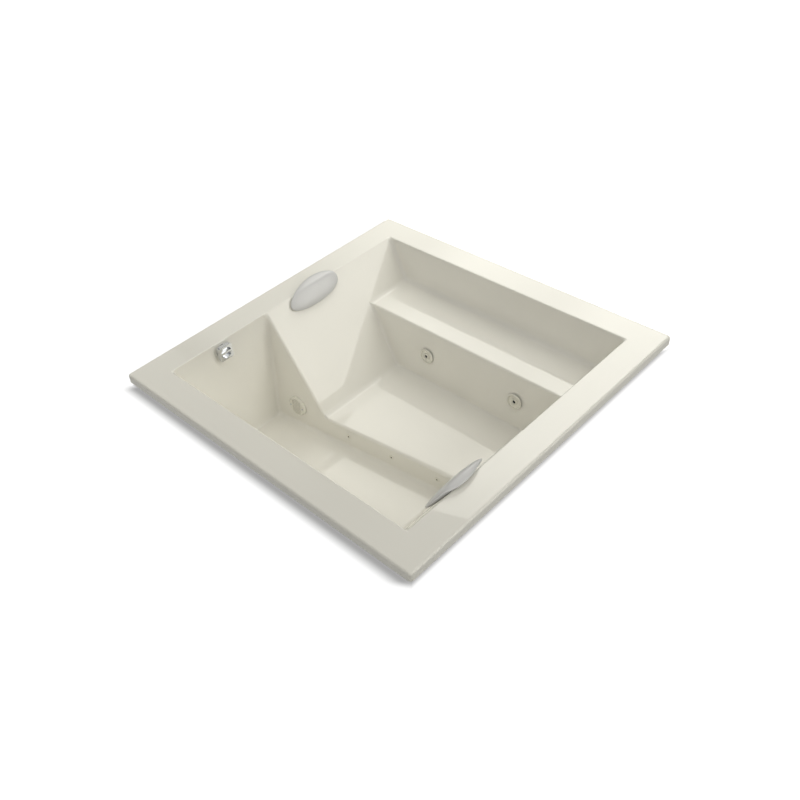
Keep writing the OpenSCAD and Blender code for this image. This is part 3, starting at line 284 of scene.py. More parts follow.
paints = {
    "acrylic": fitting_paint(),
    "pillow_skin": pillow_paint(),
    "timber": timber_paint(),
    "zinc_steel": metal_paint("zinc_steel", srgb(196, 200, 204), 0.3, 0.46, 120.0),
    "black_rubber": rubber_paint(),
    "chrome": metal_paint("chrome", srgb(226, 228, 231), 0.03, 0.08, 60.0),
    "bright_steel": metal_paint("bright_steel", srgb(208, 210, 213), 0.16, 0.26, 260.0, (0.1, 1, 1)),
    "core_steel": core_paint(),
    "waste_plastic": plastic_paint("waste_plastic", srgb(38, 38, 40), 0.38, 0.52),
    "pipe_plastic": plastic_paint("pipe_plastic", srgb(232, 232, 228), 0.28, 0.42),
    "pump_plastic": plastic_paint("pump_plastic", srgb(44, 46, 49), 0.42, 0.58, 800.0),
    "motor_paint": enamel_paint(),
}
shell_paint = acrylic_paint()
slots = {row["node"]: row["material_slot"] for row in frame["record"]["subparts"]}

# Bevel widths of the carried-over CAD nodes, in metres; a node left out keeps its own edges
BEVELS = {
    "overflow_knob": 0.0022,
    "overflow_flange": 0.0008,
    "drain_flange": 0.0008,
    "drain_stopper": 0.0006,
    "suction_cover": 0.0010,
    "suction_screws": 0.0004,
    "step_jets": 0.0006,
    "rim_battens": 0.0015,
    "base_board": 0.0012,
    "lounge_bearers": 0.0015,
    "bench_posts": 0.0015,
    "support_rails": 0.0008,
    "terminal_box": 0.0020,
    "pump_bracket": 0.0010,
    "foot_pads": 0.0012,
    "pump_isolators": 0.0008,
    "pump_unions": 0.0012,
    "slip_nuts": 0.0012,
}
WELD_WITHIN = 0.00001
# Edges flatter than the first angle go, and edges sharper than the second are rounded, in degrees
FLAT_ANGLE = 0.5
SHARP_ANGLE = 32
BEVEL_STEPS = 3


def dress(name):
    """Gives a carried-over CAD node its material and small rounded edges."""
    node = nodes[name]
    node.data.materials.clear()
    node.data.materials.append(paints[slots[name]])
    if name not in BEVELS:
        return
    weld = node.modifiers.new("weld", "WELD")
    weld.merge_threshold = WELD_WITHIN
    flat = node.modifiers.new("flat", "DECIMATE")
    flat.decimate_type = "DISSOLVE"
    flat.angle_limit = math.radians(FLAT_ANGLE)
    bevel = node.modifiers.new("bevel", "BEVEL")
    bevel.limit_method = "ANGLE"
    bevel.angle_limit = math.radians(SHARP_ANGLE)
    bevel.width = BEVELS[name]
    bevel.segments = BEVEL_STEPS
    bevel.use_clamp_overlap = True
    soft = node.modifiers.new("soft", "WEIGHTED_NORMAL")
    soft.keep_sharp = True


for name in nodes:
    dress(name)


def new_object(name, bm):
    mesh = bpy.data.meshes.new(name)
    bm.to_mesh(mesh)
    bm.free()
    made = bpy.data.objects.new(name, mesh)
    scene.collection.objects.link(made)
    return made


def apply_modifiers(made):
    """Makes what the modifiers show the object's own mesh."""
    bpy.context.view_layer.update()
    shown = made.evaluated_get(bpy.context.evaluated_depsgraph_get())
    done = bpy.data.meshes.new_from_object(shown)
    made.modifiers.clear()
    made.data = done


# Shell: the walls are planes, each moved outwards from the water by grow


def wall_planes(grow):
    """Each plane as a, b, c, k with a x + b y + c z = k, where z is minus the depth."""
    far = SIDE - RIM
    slope = tangent(DIVIDER_SLANT)
    lean = tangent(DIVIDER_DRAFT) / cosine(DIVIDER_SLANT)
    wedge_lean = tangent(WEDGE_DRAFT) / cosine(DIVIDER_SLANT)
    start = DIVIDER_START - RIM * slope
    riser_start = BENCH_FRONT + BENCH * tangent(RISER_DRAFT)
    divider_grow = grow / (cosine(DIVIDER_SLANT) * cosine(DIVIDER_DRAFT))
    wedge_start = start - LOUNGE * (lean + wedge_lean)
    return {
        "left": (1, 0, tangent(LEFT_DRAFT), RIM - grow / cosine(LEFT_DRAFT)),
        "front": (0, 1, tangent(PLAIN_DRAFT), RIM - grow / cosine(PLAIN_DRAFT)),
        "right_back": (1, 0, -tangent(RIGHT_RECLINE), far + grow / cosine(RIGHT_RECLINE)),
        "right": (1, 0, -tangent(PLAIN_DRAFT), far + grow / cosine(PLAIN_DRAFT)),
        "rear": (0, 1, -tangent(REAR_DRAFT), far + grow / cosine(REAR_DRAFT)),
        "left_back": (1, 0, tangent(LEFT_RECLINE), RIM - grow / cosine(LEFT_RECLINE)),
        "riser": (0, 1, -tangent(RISER_DRAFT), riser_start + grow / cosine(RISER_DRAFT)),
        "divider": (-slope, 1, -lean, start + divider_grow),
        "wedge": (-slope, 1, wedge_lean, wedge_start - grow / cosine(DIVIDER_SLANT)),
        "top": (0, 0, 1, -grow),
        "footwell": (0, 0, 1, -FOOTWELL - grow),
        "lounge": (0, 0, 1, -LOUNGE - grow),
        "bench": (0, 0, 1, -BENCH - grow),
    }


# Corners of the basin by letter, each where three planes meet
INSIDE = {
    "a": ("left", "front", "top"), "b": ("left", "divider", "top"), "c": ("left_back", "rear", "top"),
    "e": ("right", "rear", "top"), "f": ("right", "wedge", "top"), "g": ("front", "right_back", "top"),
    "h": ("left", "front", "footwell"), "i": ("right_back", "front", "footwell"),
    "j": ("right_back", "divider", "footwell"), "k": ("left", "divider", "footwell"),
    "l": ("left_back", "divider", "lounge"), "m": ("right_back", "divider", "lounge"),
    "n": ("right", "wedge", "lounge"), "o": ("right", "riser", "lounge"),
    "p": ("left_back", "riser", "lounge"), "q": ("left_back", "riser", "bench"),
    "r": ("right", "riser", "bench"), "s": ("right", "rear", "bench"),
    "t": ("left_back", "rear", "bench"),
}
INSIDE_FACES = [
    "abkh", "agih", "gfmji", "blmjk", "fnm", "bctqpl", "fesron", "cest", "qrop", "qrst",
    "lmnop", "hijk",
]
# The outer skin splits b, f and m in two, because the walls on either side of them move apart
OUTSIDE = {name: planes for name, planes in INSIDE.items() if name not in "bfm"}
OUTSIDE["b"] = ("left", "divider", "top")
OUTSIDE["B"] = ("left_back", "divider", "top")
OUTSIDE["f"] = ("right_back", "wedge", "top")
OUTSIDE["F"] = ("right", "wedge", "top")
OUTSIDE["m"] = ("right_back", "wedge", "lounge")
OUTSIDE["M"] = ("right_back", "divider", "lounge")
OUTSIDE_FACES = [
    "abkh", "agih", "gfmMji", "bBlMjk", "fFnm", "Bctqpl", "Fesron", "cest", "qrop", "qrst",
    "lMmnop", "hijk",
]
# Rounding of the inner edges, each named by its two corners, in millimetres
ROUND = {
    "ab": 7, "bc": 6, "ce": 6, "ef": 5, "fg": 3, "ag": 8,
    "ah": 16, "gi": 16, "bk": 16, "ct": 18, "es": 18, "fn": 14, "fm": 8, "bl": 9, "lm": 8, "jm": 16,
    "hk": 26, "hi": 26, "ij": 20, "jk": 26, "lp": 18, "op": 26, "no": 22, "mn": 20,
    "qr": 8, "pq": 14, "or": 16, "qt": 16, "st": 24, "rs": 20,
}
# The rounding that a bevel weight of 1 stands for
ROUND_MOST = 30
# Steps of a rounded edge, of a corner of the deck and of its outer edge
ROUND_STEPS = 6
CORNER_STEPS = 8
EDGE_STEPS = 6
# A fold of more degrees than this stays a sharp edge
SHARP_FOLD = 34


def meet(planes, names):
    """The point where three planes meet."""
    rows = np.array([planes[name] for name in names], float)
    return np.linalg.solve(rows[:, :3], rows[:, 3])


def rounded_square(bm, inset, depth):
    """A loop of the deck's outline, set in from its outside."""
    radius = CORNER - inset
    loop = []
    for corner, (right, rear) in enumerate(((0, 0), (1, 0), (1, 1), (0, 1))):
        for step in range(CORNER_STEPS + 1):
            angle = 180 + 90 * corner + 90 * step / CORNER_STEPS
            x = CORNER + right * (SIDE - 2 * CORNER) + radius * cosine(angle)
            y = CORNER + rear * (SIDE - 2 * CORNER) + radius * sine(angle)
            loop.append(bm.verts.new(place(x, y, depth)))
    return loop


def bridge(bm, first, second):
    """Joins two loops of the same number of points."""
    count = len(first)
    for i in range(count):
        bm.faces.new((first[i], first[(i + 1) % count], second[(i + 1) % count], second[i]))


def skin(bm, grow, corners, faces):
    """The basin's walls, moved outwards by grow; gives its corner points by name."""
    planes = wall_planes(grow)
    verts = {}
    for name, meeting in corners.items():
        x, y, z = meet(planes, meeting)
        verts[name] = bm.verts.new(place(x, y, -z))
    for face in faces:
        bm.faces.new([verts[name] for name in face])
    return verts


def ring_faces(bm, loop, inner):
    """Joins a loop of the outline to the basin's edge, given as one chain of corners per side."""
    steps = len(loop) // 4
    middles = [corner * steps + steps // 2 for corner in range(4)]
    for side, chain in enumerate(inner):
        start = middles[side]
        end = middles[(side + 1) % 4]
        count = (end - start) % len(loop)
        outer = [loop[(start + i) % len(loop)] for i in range(count + 1)]
        bm.faces.new(outer + chain[::-1])


def divider_y(x, depth):
    """Where the divider's face is, at a way across and a depth."""
    slope = tangent(DIVIDER_SLANT)
    lean = tangent(DIVIDER_DRAFT) / cosine(DIVIDER_SLANT)
    return DIVIDER_START + (x - RIM) * slope - depth * lean


def riser_y(depth):
    """Where the riser's face is, at a depth."""
    return BENCH_FRONT - (depth - BENCH) * tangent(RISER_DRAFT)


# Fittings, in millimetres: their places in the walls, the radii of their barrels, and the rods that
# cut their bores
WASTE_Y = 375
OVERFLOW_DEPTH = 47
DRAIN_X = 235
SUCTION_X = 264
SUCTION_DEPTH = 441
JETS_X = (598.02, 1085.09)
JET_DEPTH = 305
STEP_JETS_X = 551.16
STEP_JETS_APART = 232.18
STEP_JET_COUNT = 3
STEP_JET_DEPTH = 482
OVERFLOW_BARREL = 22
DRAIN_BARREL = 25
SUCTION_BARREL = 28
JET_BARREL = 24
STEP_BARREL = 8
BORE_GAP = 0.3
BORE_LENGTH = 40
BORE_SIDES = 72
LEFT_NORMAL = Vector((cosine(LEFT_DRAFT), 0, sine(LEFT_DRAFT)))
RISER_NORMAL = Vector((0, -cosine(RISER_DRAFT), sine(RISER_DRAFT)))
DIVIDER_NORMAL = Vector((
    sine(DIVIDER_SLANT) * cosine(DIVIDER_DRAFT),
    -cosine(DIVIDER_SLANT) * cosine(DIVIDER_DRAFT),
    sine(DIVIDER_DRAFT),
))
OVERFLOW_AT = place(RIM + OVERFLOW_DEPTH * tangent(LEFT_DRAFT), WASTE_Y, OVERFLOW_DEPTH)
DRAIN_AT = place(DRAIN_X, WASTE_Y, FOOTWELL)
SUCTION_AT = place(SUCTION_X, divider_y(SUCTION_X, SUCTION_DEPTH), SUCTION_DEPTH)
JETS_AT = [place(x, riser_y(JET_DEPTH), JET_DEPTH) for x in JETS_X]
STEP_AT = []
for step in range(STEP_JET_COUNT):
    jet_x = STEP_JETS_X + STEP_JETS_APART * step
    STEP_AT.append(place(jet_x, divider_y(jet_x, STEP_JET_DEPTH), STEP_JET_DEPTH))


def shell_walls():
    """The shell before its bores and rounding, and the places of its inner corners by name."""
    bm = bmesh.new()
    inner = skin(bm, 0, INSIDE, INSIDE_FACES)
    # The top of the deck and its rounded outer edge
    loops = []
    for step in range(EDGE_STEPS + 1):
        angle = 90 * step / EDGE_STEPS
        loops.append(rounded_square(bm, EDGE * (1 - sine(angle)), EDGE * (1 - cosine(angle))))
    loops.append(rounded_square(bm, 0, LIP))
    for first, second in zip(loops, loops[1:]):
        bridge(bm, first, second)
    chains = [("a", "g"), ("g", "f", "e"), ("e", "c"), ("c", "b", "a")]
    ring_faces(bm, loops[0], [[inner[name] for name in chain] for chain in chains])
    # The underside: the lip's inside, the deck's underside and the outer skin
    under = rounded_square(bm, WALL, LIP)
    below = rounded_square(bm, WALL, WALL)
    bridge(bm, loops[-1], under)
    bridge(bm, under, below)
    outer = skin(bm, WALL, OUTSIDE, OUTSIDE_FACES)
    chains = [("a", "g"), ("g", "f", "F", "e"), ("e", "c"), ("c", "B", "b", "a")]
    ring_faces(bm, below, [[outer[name] for name in chain] for chain in chains])
    bmesh.ops.recalc_face_normals(bm, faces=bm.faces)
    ends = {name: vert.co.copy() for name, vert in inner.items()}
    return new_object("bath_shell", bm), ends


def cutter(bm, at, normal, barrel):
    """A rod across the shell's wall that cuts the bore for a barrel."""
    turn = Vector((0, 0, 1)).rotation_difference(Vector(normal)).to_matrix().to_4x4()
    radius = (barrel + BORE_GAP) / 1000
    bmesh.ops.create_cone(
        bm, cap_ends=True, segments=BORE_SIDES, radius1=radius, radius2=radius,
        depth=BORE_LENGTH / 1000, matrix=Matrix.Translation(at) @ turn,
    )


def cut_bores(shell):
    """Cuts the bores for the fittings."""
    bm = bmesh.new()
    cutter(bm, OVERFLOW_AT, LEFT_NORMAL, OVERFLOW_BARREL)
    cutter(bm, DRAIN_AT, (0, 0, 1), DRAIN_BARREL)
    cutter(bm, SUCTION_AT, DIVIDER_NORMAL, SUCTION_BARREL)
    for at in JETS_AT:
        cutter(bm, at, RISER_NORMAL, JET_BARREL)
    for at in STEP_AT:
        cutter(bm, at, DIVIDER_NORMAL, STEP_BARREL)
    bores = new_object("bores", bm)
    cut = shell.modifiers.new("bores", "BOOLEAN")
    cut.object = bores
    cut.solver = "EXACT"
    apply_modifiers(shell)
    bpy.data.objects.remove(bores)


def round_edges(shell, ends):
    """Rounds the inner edges, which are found by the places of their corners."""
    bm = bmesh.new()
    bm.from_mesh(shell.data)
    weights = bm.edges.layers.float.new("bevel_weight_edge")
    corners = {}
    for name, at in ends.items():
        corners[name] = min(bm.verts, key=lambda vert: (vert.co - at).length)
    for pair, radius in ROUND.items():
        edge = bm.edges.get((corners[pair[0]], corners[pair[1]]))
        if edge is None:
            raise SystemExit(f"the shell has no edge {pair}")
        edge[weights] = radius / ROUND_MOST
    bm.to_mesh(shell.data)
    bm.free()
    bevel = shell.modifiers.new("bevel", "BEVEL")
    bevel.limit_method = "WEIGHT"
    bevel.width = ROUND_MOST / 1000
    bevel.segments = ROUND_STEPS
    bevel.use_clamp_overlap = False
    apply_modifiers(shell)


def smooth_shell(shell):
    """Smooths the faces, with sharp edges where the shell still folds."""
    bm = bmesh.new()
    bm.from_mesh(shell.data)
    for face in bm.faces:
        face.smooth = True
    for edge in bm.edges:
        edge.smooth = len(edge.link_faces) == 2 and edge.calc_face_angle(0) < math.radians(SHARP_FOLD)
    bm.to_mesh(shell.data)
    bm.free()
    soft = shell.modifiers.new("soft", "WEIGHTED_NORMAL")
    soft.keep_sharp = True
    soft.weight = 100


def make_shell():
    shell, ends = shell_walls()
    cut_bores(shell)
    round_edges(shell, ends)
    smooth_shell(shell)
    shell.data.materials.clear()
    shell.data.materials.append(shell_paint)
    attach(shell, "bath")
    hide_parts("tub_shell")


make_shell()

# Pillows: the CAD's leaf-shaped pad, finer, bent over the rim's inner edge

SEAT_GAP = 0.3
PAD_SIDES = 96
PAD_RINGS = 26
# Each pad: its middle along the rim, its outline from length to tilt, its section from thick to crown
# with power, and how far it bends over the rim and drops into the bath
LEFT_PAD = {
    "side": -1, "recline": LEFT_RECLINE, "middle": 882.8, "length": 280, "height": 121, "point": 0.93,
    "taper": 0.21, "skew": -0.43, "tilt": 10.9, "thick": 18.2, "crown": 5.6, "bend": 39, "drop": 23.6,
    "power": 4.9,
}
RIGHT_PAD = {
    "side": 1, "recline": RIGHT_RECLINE, "middle": 396.5, "length": 265, "height": 125, "point": 1.2,
    "taper": -0.4, "skew": 0.35, "tilt": 7.0, "thick": 31.0, "crown": 2.0, "bend": 44, "drop": 31.5,
    "power": 2.3,
}


def pad_place(pad, v):
    """Where the pad's middle sheet is at a way v up the backrest, and its normal."""
    middle = SEAT_GAP + pad["thick"] / 2
    bent = middle * math.radians(pad["bend"])
    turn = math.degrees(min(max(v, 0), bent) / middle)
    ahead = min(v, 0) + max(v - bent, 0)
    lean = 90 - pad["recline"] - turn
    normal = (-sine(lean), cosine(lean))
    out = normal[0] * middle + cosine(lean) * ahead
    up = normal[1] * middle + sine(lean) * ahead
    return out, up, normal


def pad_point(pad, share, angle, front):
    """A point of the pad's front or back, at a share of the way out from its middle."""
    side = pad["side"]
    half_sine = math.copysign(abs(sine(angle)) ** pad["point"], sine(angle))
    across = pad["height"] / 2 * half_sine * share * (1 + pad["taper"] * cosine(angle) * share)
    along = pad["length"] / 2 * cosine(angle) * share + pad["skew"] * across
    u = along * cosine(pad["tilt"]) - across * sine(pad["tilt"])
    v = along * sine(pad["tilt"]) + across * cosine(pad["tilt"]) - pad["drop"]
    out, up, normal = pad_place(pad, v)
    edge = math.sqrt(max(0, 1 - share ** pad["power"]))
    half = pad["thick"] / 2 * edge
    height = half + pad["crown"] * (1 - share * share) if front else -half
    rim_x = RIM if side < 0 else SIDE - RIM
    x = rim_x + side * (out + normal[0] * height)
    return place(x, pad["middle"] + u, -(up + normal[1] * height))


def pad_loop(bm, pad, share, front):
    """A closed loop of the pad's front or back, at a share of the way out from its middle."""
    angles = [360 * step / PAD_SIDES for step in range(PAD_SIDES)]
    return [bm.verts.new(pad_point(pad, share, angle, front)) for angle in angles]


def make_pillow(name, node, body, pad):
    bm = bmesh.new()
    shares = [sine(90 * ring / PAD_RINGS) for ring in range(1, PAD_RINGS + 1)]
    loops = [pad_loop(bm, pad, share, True) for share in shares]
    loops += [pad_loop(bm, pad, share, False) for share in shares[-2::-1]]
    first = bm.verts.new(pad_point(pad, 0, 0, True))
    last = bm.verts.new(pad_point(pad, 0, 0, False))
    for step in range(PAD_SIDES):
        after = (step + 1) % PAD_SIDES
        bm.faces.new((first, loops[0][step], loops[0][after]))
        bm.faces.new((last, loops[-1][after], loops[-1][step]))
    for one, two in zip(loops, loops[1:]):
        bridge(bm, one, two)
    bmesh.ops.recalc_face_normals(bm, faces=bm.faces)
    for face in bm.faces:
        face.smooth = True
    pillow = new_object(name, bm)
    pillow.data.materials.append(paints["pillow_skin"])
    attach(pillow, body)
    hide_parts(node)


make_pillow("pillow_left", "left_pillow", "left_cushion", LEFT_PAD)
make_pillow("pillow_right", "right_pillow", "right_cushion", RIGHT_PAD)

# Jets: rings and nozzles, finer than the CAD's, each a closed outline turned about its own axis

TURNED_SIDES = 96
TURNED_FOLD = 30
# Outlines as radius and height off the riser, in millimetres, and their rows that take the dark paint
# as painted shade
RING_OUTLINE = [
    (14.3, 4.0), (14.3, -8.0), (17.7, -8.0), (17.7, 3.3), (32.4, 3.3), (32.4, 5.2), (35.2, 5.4),
    (36.0, 6.4), (35.8, 8.0), (34.8, 9.6), (33.2, 10.6), (31.4, 11.0), (30.4, 10.4), (29.8, 9.0),
    (29.2, 5.4), (27.6, 4.6), (20.0, 4.2),
]
# The cap's underside and neck take the dark paint, as painted shade in the gap under the cap
RING_SHADE_ROWS = (3, 4, 5)
NOZZLE_OUTLINE = [
    (5.0, 1.0), (5.0, -9.0), (9.0, -6.6), (12.0, -3.0), (13.7, 1.0), (14.0, 4.0), (13.8, 6.5),
    (13.2, 8.7), (12.4, 10.5), (11.2, 11.8), (10.0, 12.2), (9.4, 11.6), (7.6, 6.0),
]
# The bore's wall and the bottom of the countersink take the dark paint, as painted shade in the bore
NOZZLE_SHADE_ROWS = (0, 12)


def turned_part(name, at, outline, shade_rows, node, body):
    """A part of a bench jet, turned about the jet's axis; its listed rows take the dark paint as
    painted shade.
    """
    turn = Vector((0, 0, 1)).rotation_difference(RISER_NORMAL).to_matrix()
    bm = bmesh.new()
    rings = []
    for radius, height in outline:
        ring = []
        for step in range(TURNED_SIDES):
            angle = 360 * step / TURNED_SIDES
            local = Vector((radius * cosine(angle), radius * sine(angle), height)) / 1000
            ring.append(bm.verts.new(at + turn @ local))
        rings.append(ring)
    for row, ring in enumerate(rings):
        after = rings[(row + 1) % len(rings)]
        for step in range(TURNED_SIDES):
            ahead = (step + 1) % TURNED_SIDES
            face = bm.faces.new((ring[step], ring[ahead], after[ahead], after[step]))
            face.smooth = True
            face.material_index = 1 if row in shade_rows else 0
    bmesh.ops.recalc_face_normals(bm, faces=bm.faces)
    for edge in bm.edges:
        edge.smooth = edge.calc_face_angle(0) < math.radians(TURNED_FOLD)
    made = new_object(name, bm)
    made.data.materials.append(paints["acrylic"])
    made.data.materials.append(paints["waste_plastic"])
    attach(made, body)
    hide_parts(node)


for side, at in zip(("left", "right"), JETS_AT):
    ring_names = (f"{side}_jet_ring", f"{side}_ring")
    nozzle_names = (f"{side}_jet_nozzle", f"{side}_nozzle")
    turned_part(f"{side}_ring", at, RING_OUTLINE, RING_SHADE_ROWS, *ring_names)
    turned_part(f"{side}_nozzle", at, NOZZLE_OUTLINE, NOZZLE_SHADE_ROWS, *nozzle_names)

# A little more than the radius of a step jet's mouth
STEP_MOUTH = 3.8
# A face whose normal has less than this along the bore is one of the bore's walls
BORE_WALL_TURN = 0.3


def paint_step_jet_shade():
    """Gives the walls of the step jets' mouths the dark paint, as painted shade inside the bores."""
    node = nodes["step_jets"]
    node.data.materials.append(paints["waste_plastic"])
    into = node.matrix_world.inverted()
    way = (into.to_3x3() @ DIVIDER_NORMAL).normalized()
    centres = [into @ at for at in STEP_AT]
    for face in node.data.polygons:
        for centre in centres:
            off = face.center - centre
            away = (off - way * off.dot(way)).length
            if away < STEP_MOUTH / 1000 and abs(face.normal.dot(way)) < BORE_WALL_TURN:
                face.material_index = 1


paint_step_jet_shade()

# Stage and light: a pale floor, the white ground round the bath, a soft box overhead, and a sky

HALF = SIDE / 2000
WHITE = (1, 1, 1, 1)
FLOOR_REACH = 9
FLOOR_DROP = 0.0005
FLOOR_PALE = (0.86, 0.86, 0.86, 1)
FLOOR_GREY = (0.37, 0.37, 0.36, 1)
FLOOR_GLOW = 0.7
FLOOR_MIRRORED = 0.7


def stage_object(name, faces, material):
    """An object of the stage from the corner points of its faces, which are turned upwards."""
    bm = bmesh.new()
    for corners in faces:
        bm.faces.new([bm.verts.new(corner) for corner in corners])
    bm.normal_update()
    for face in bm.faces:
        if face.normal.z < 0:
            face.normal_flip()
    made = new_object(name, bm)
    made.data.materials.append(material)
    return made


def empty_tree(owner):
    """The node tree of a new material or world, cleared."""
    owner.use_nodes = True
    owner.node_tree.nodes.clear()
    return owner.node_tree


def maths(tree, kind, *values):
    """Adds, multiplies or otherwise combines sockets and numbers, one after another."""
    result = values[0]
    for value in values[1:]:
        node = tree.nodes.new("ShaderNodeMath")
        node.operation = kind
        for socket, term in zip(node.inputs, (result, value)):
            if isinstance(term, (int, float)):
                socket.default_value = term
            else:
                tree.links.new(term, socket)
        result = node.outputs[0]
    return result


def times(tree, *values):
    return maths(tree, "MULTIPLY", *values)


def opposite(tree, value):
    return maths(tree, "SUBTRACT", 1, value)


def rise(tree, socket, start, end):
    """0 at start and 1 at end, soft in between."""
    node = tree.nodes.new("ShaderNodeMapRange")
    node.interpolation_type = "SMOOTHSTEP"
    node.inputs["From Min"].default_value = start
    node.inputs["From Max"].default_value = end
    tree.links.new(socket, node.inputs["Value"])
    return node.outputs["Result"]


def seen(tree, share):
    """1 for the camera's rays, a share of 1 for mirrored ones, and 0 for the others."""
    path = tree.nodes.new("ShaderNodeLightPath").outputs
    mirrored = maths(tree, "MAXIMUM", path["Is Glossy Ray"], path["Is Transmission Ray"])
    return maths(tree, "MAXIMUM", path["Is Camera Ray"], times(tree, mirrored, share))


def glow(tree, colour, strength):
    """Light of a colour, as strong as a socket says."""
    light = tree.nodes.new("ShaderNodeEmission")
    light.inputs["Color"].default_value = colour
    tree.links.new(strength, light.inputs["Strength"])
    return light.outputs[0]


def join_shaders(tree, kind, first, second):
    """A mix or a sum of two shaders, as its node."""
    node = tree.nodes.new(kind)
    tree.links.new(first, node.inputs[-2])
    tree.links.new(second, node.inputs[-1])
    return node


def ways(tree):
    """The x and y of the shaded point, in metres."""
    where = tree.nodes.new("ShaderNodeNewGeometry")
    split = tree.nodes.new("ShaderNodeSeparateXYZ")
    tree.links.new(where.outputs["Position"], split.inputs[0])
    return split.outputs["X"], split.outputs["Y"]


def finish_tree(tree, kind, shader):
    """Makes a shader the surface of its material or world, through an output node of that kind."""
    tree.links.new(shader, tree.nodes.new(kind).inputs["Surface"])


def floor_paint():
    """Pale diffuse floor that a camera or a mirror sees brighter, and other rays as a mid grey."""
    material = bpy.data.materials.new("floor_pale")
    tree = empty_tree(material)
    path = tree.nodes.new("ShaderNodeLightPath")
    shade = tree.nodes.new("ShaderNodeMix")
    shade.data_type = "RGBA"
    # Inputs 6 and 7 of this node are its two colours, and output 2 is their mix
    shade.inputs[6].default_value = FLOOR_GREY
    shade.inputs[7].default_value = FLOOR_PALE
    tree.links.new(path.outputs["Is Camera Ray"], shade.inputs[0])
    diffuse = tree.nodes.new("ShaderNodeBsdfDiffuse")
    tree.links.new(shade.outputs[2], diffuse.inputs["Color"])
    light = glow(tree, WHITE, times(tree, seen(tree, FLOOR_MIRRORED), FLOOR_GLOW))
    lit = join_shaders(tree, "ShaderNodeAddShader", diffuse.outputs[0], light)
    finish_tree(tree, "ShaderNodeOutputMaterial", lit.outputs[0])
    return material


def floor_corners():
    signs = ((-1, -1), (1, -1), (1, 1), (-1, 1))
    return [(x * FLOOR_REACH, y * FLOOR_REACH, -FLOOR_DROP) for x, y in signs]


stage_object("floor", [floor_corners()], floor_paint())

# Ground: sheets on three sides of the lip that start under it and rise outwards, in metres and degrees
UNDER_LIP = 0.022
UNDER_DECK = 0.034
SHEET_TILT = 46
SHEET_REACH = 0.62
SHEET_GREY = (0.1, 0.1, 0.1, 1)
# The sheets fade out at their ends, and the left one well before its end
SHEET_FADE = 0.12
LEFT_REACH = 0.2
LEFT_FADE = 0.1
# The bath's shadow, painted into the sheets along the front lip: how far it reaches, its share of the
# light, and the soft ways along which it starts at the lip and the left corner and ends at the right
# corner
SHADOW_FRONT = 0.105
SHADOW_DEPTH = 0.64
SHADOW_LIP = 0.004
SHADOW_BEFORE = 0.01
SHADOW_START = 0.04
SHADOW_INSIDE = 0.04
SHADOW_OUTSIDE = 0.02


def sheet_point(x, y, off):
    """A point of the ground, off metres outwards from the lip."""
    return (x, y, (HEIGHT - LIP) / 1000 - UNDER_LIP + off * tangent(SHEET_TILT))


def sheet_faces():
    """Sheets in front, at the right and at the left, with mitred corners."""
    near = HALF - UNDER_DECK
    far = HALF + SHEET_REACH
    front_left = [sheet_point(-near, -near, -UNDER_DECK), sheet_point(-far, -far, SHEET_REACH)]
    front_right = [sheet_point(near, -near, -UNDER_DECK), sheet_point(far, -far, SHEET_REACH)]
    rear_right = [sheet_point(near, HALF, -UNDER_DECK), sheet_point(far, HALF, SHEET_REACH)]
    rear_left = [sheet_point(-near, HALF, -UNDER_DECK), sheet_point(-far, HALF, SHEET_REACH)]
    pairs = [(front_left, front_right), (front_right, rear_right), (rear_left, front_left)]
    return [first + second[::-1] for first, second in pairs]


def sheet_paint():
    """Glowing ground with the shadow painted in; it shows only to the camera, and only from above."""
    material = bpy.data.materials.new("surround_pale")
    tree = empty_tree(material)
    x, y = ways(tree)
    shadow = times(
        tree,
        opposite(tree, rise(tree, x, HALF - SHADOW_INSIDE, HALF + SHADOW_OUTSIDE)),
        opposite(tree, rise(tree, y, HALF - SHADOW_INSIDE, HALF + SHADOW_OUTSIDE)),
        rise(tree, x, -HALF, -HALF + SHADOW_LIP),
        rise(tree, maths(tree, "ADD", x, y), -2 * HALF - SHADOW_BEFORE, -2 * HALF + SHADOW_START),
        rise(tree, y, -HALF - SHADOW_FRONT, -HALF + SHADOW_LIP),
    )
    light = glow(tree, WHITE, opposite(tree, times(tree, shadow, SHADOW_DEPTH)))
    diffuse = tree.nodes.new("ShaderNodeBsdfDiffuse")
    diffuse.inputs["Color"].default_value = SHEET_GREY
    lit = join_shaders(tree, "ShaderNodeAddShader", diffuse.outputs[0], light)
    shown = times(
        tree,
        tree.nodes.new("ShaderNodeLightPath").outputs["Is Camera Ray"],
        opposite(tree, tree.nodes.new("ShaderNodeNewGeometry").outputs["Backfacing"]),
        opposite(tree, rise(tree, x, HALF + SHEET_REACH - SHEET_FADE, HALF + SHEET_REACH)),
        rise(tree, y, -HALF - SHEET_REACH, -HALF - SHEET_REACH + SHEET_FADE),
        rise(tree, x, -HALF - LEFT_REACH, -HALF - LEFT_REACH + LEFT_FADE),
    )
    clear = tree.nodes.new("ShaderNodeBsdfTransparent")
    mix = join_shaders(tree, "ShaderNodeMixShader", clear.outputs[0], lit.outputs[0])
    tree.links.new(shown, mix.inputs[0])
    finish_tree(tree, "ShaderNodeOutputMaterial", mix.outputs[0])
    return material


stage_object("surround", sheet_faces(), sheet_paint())

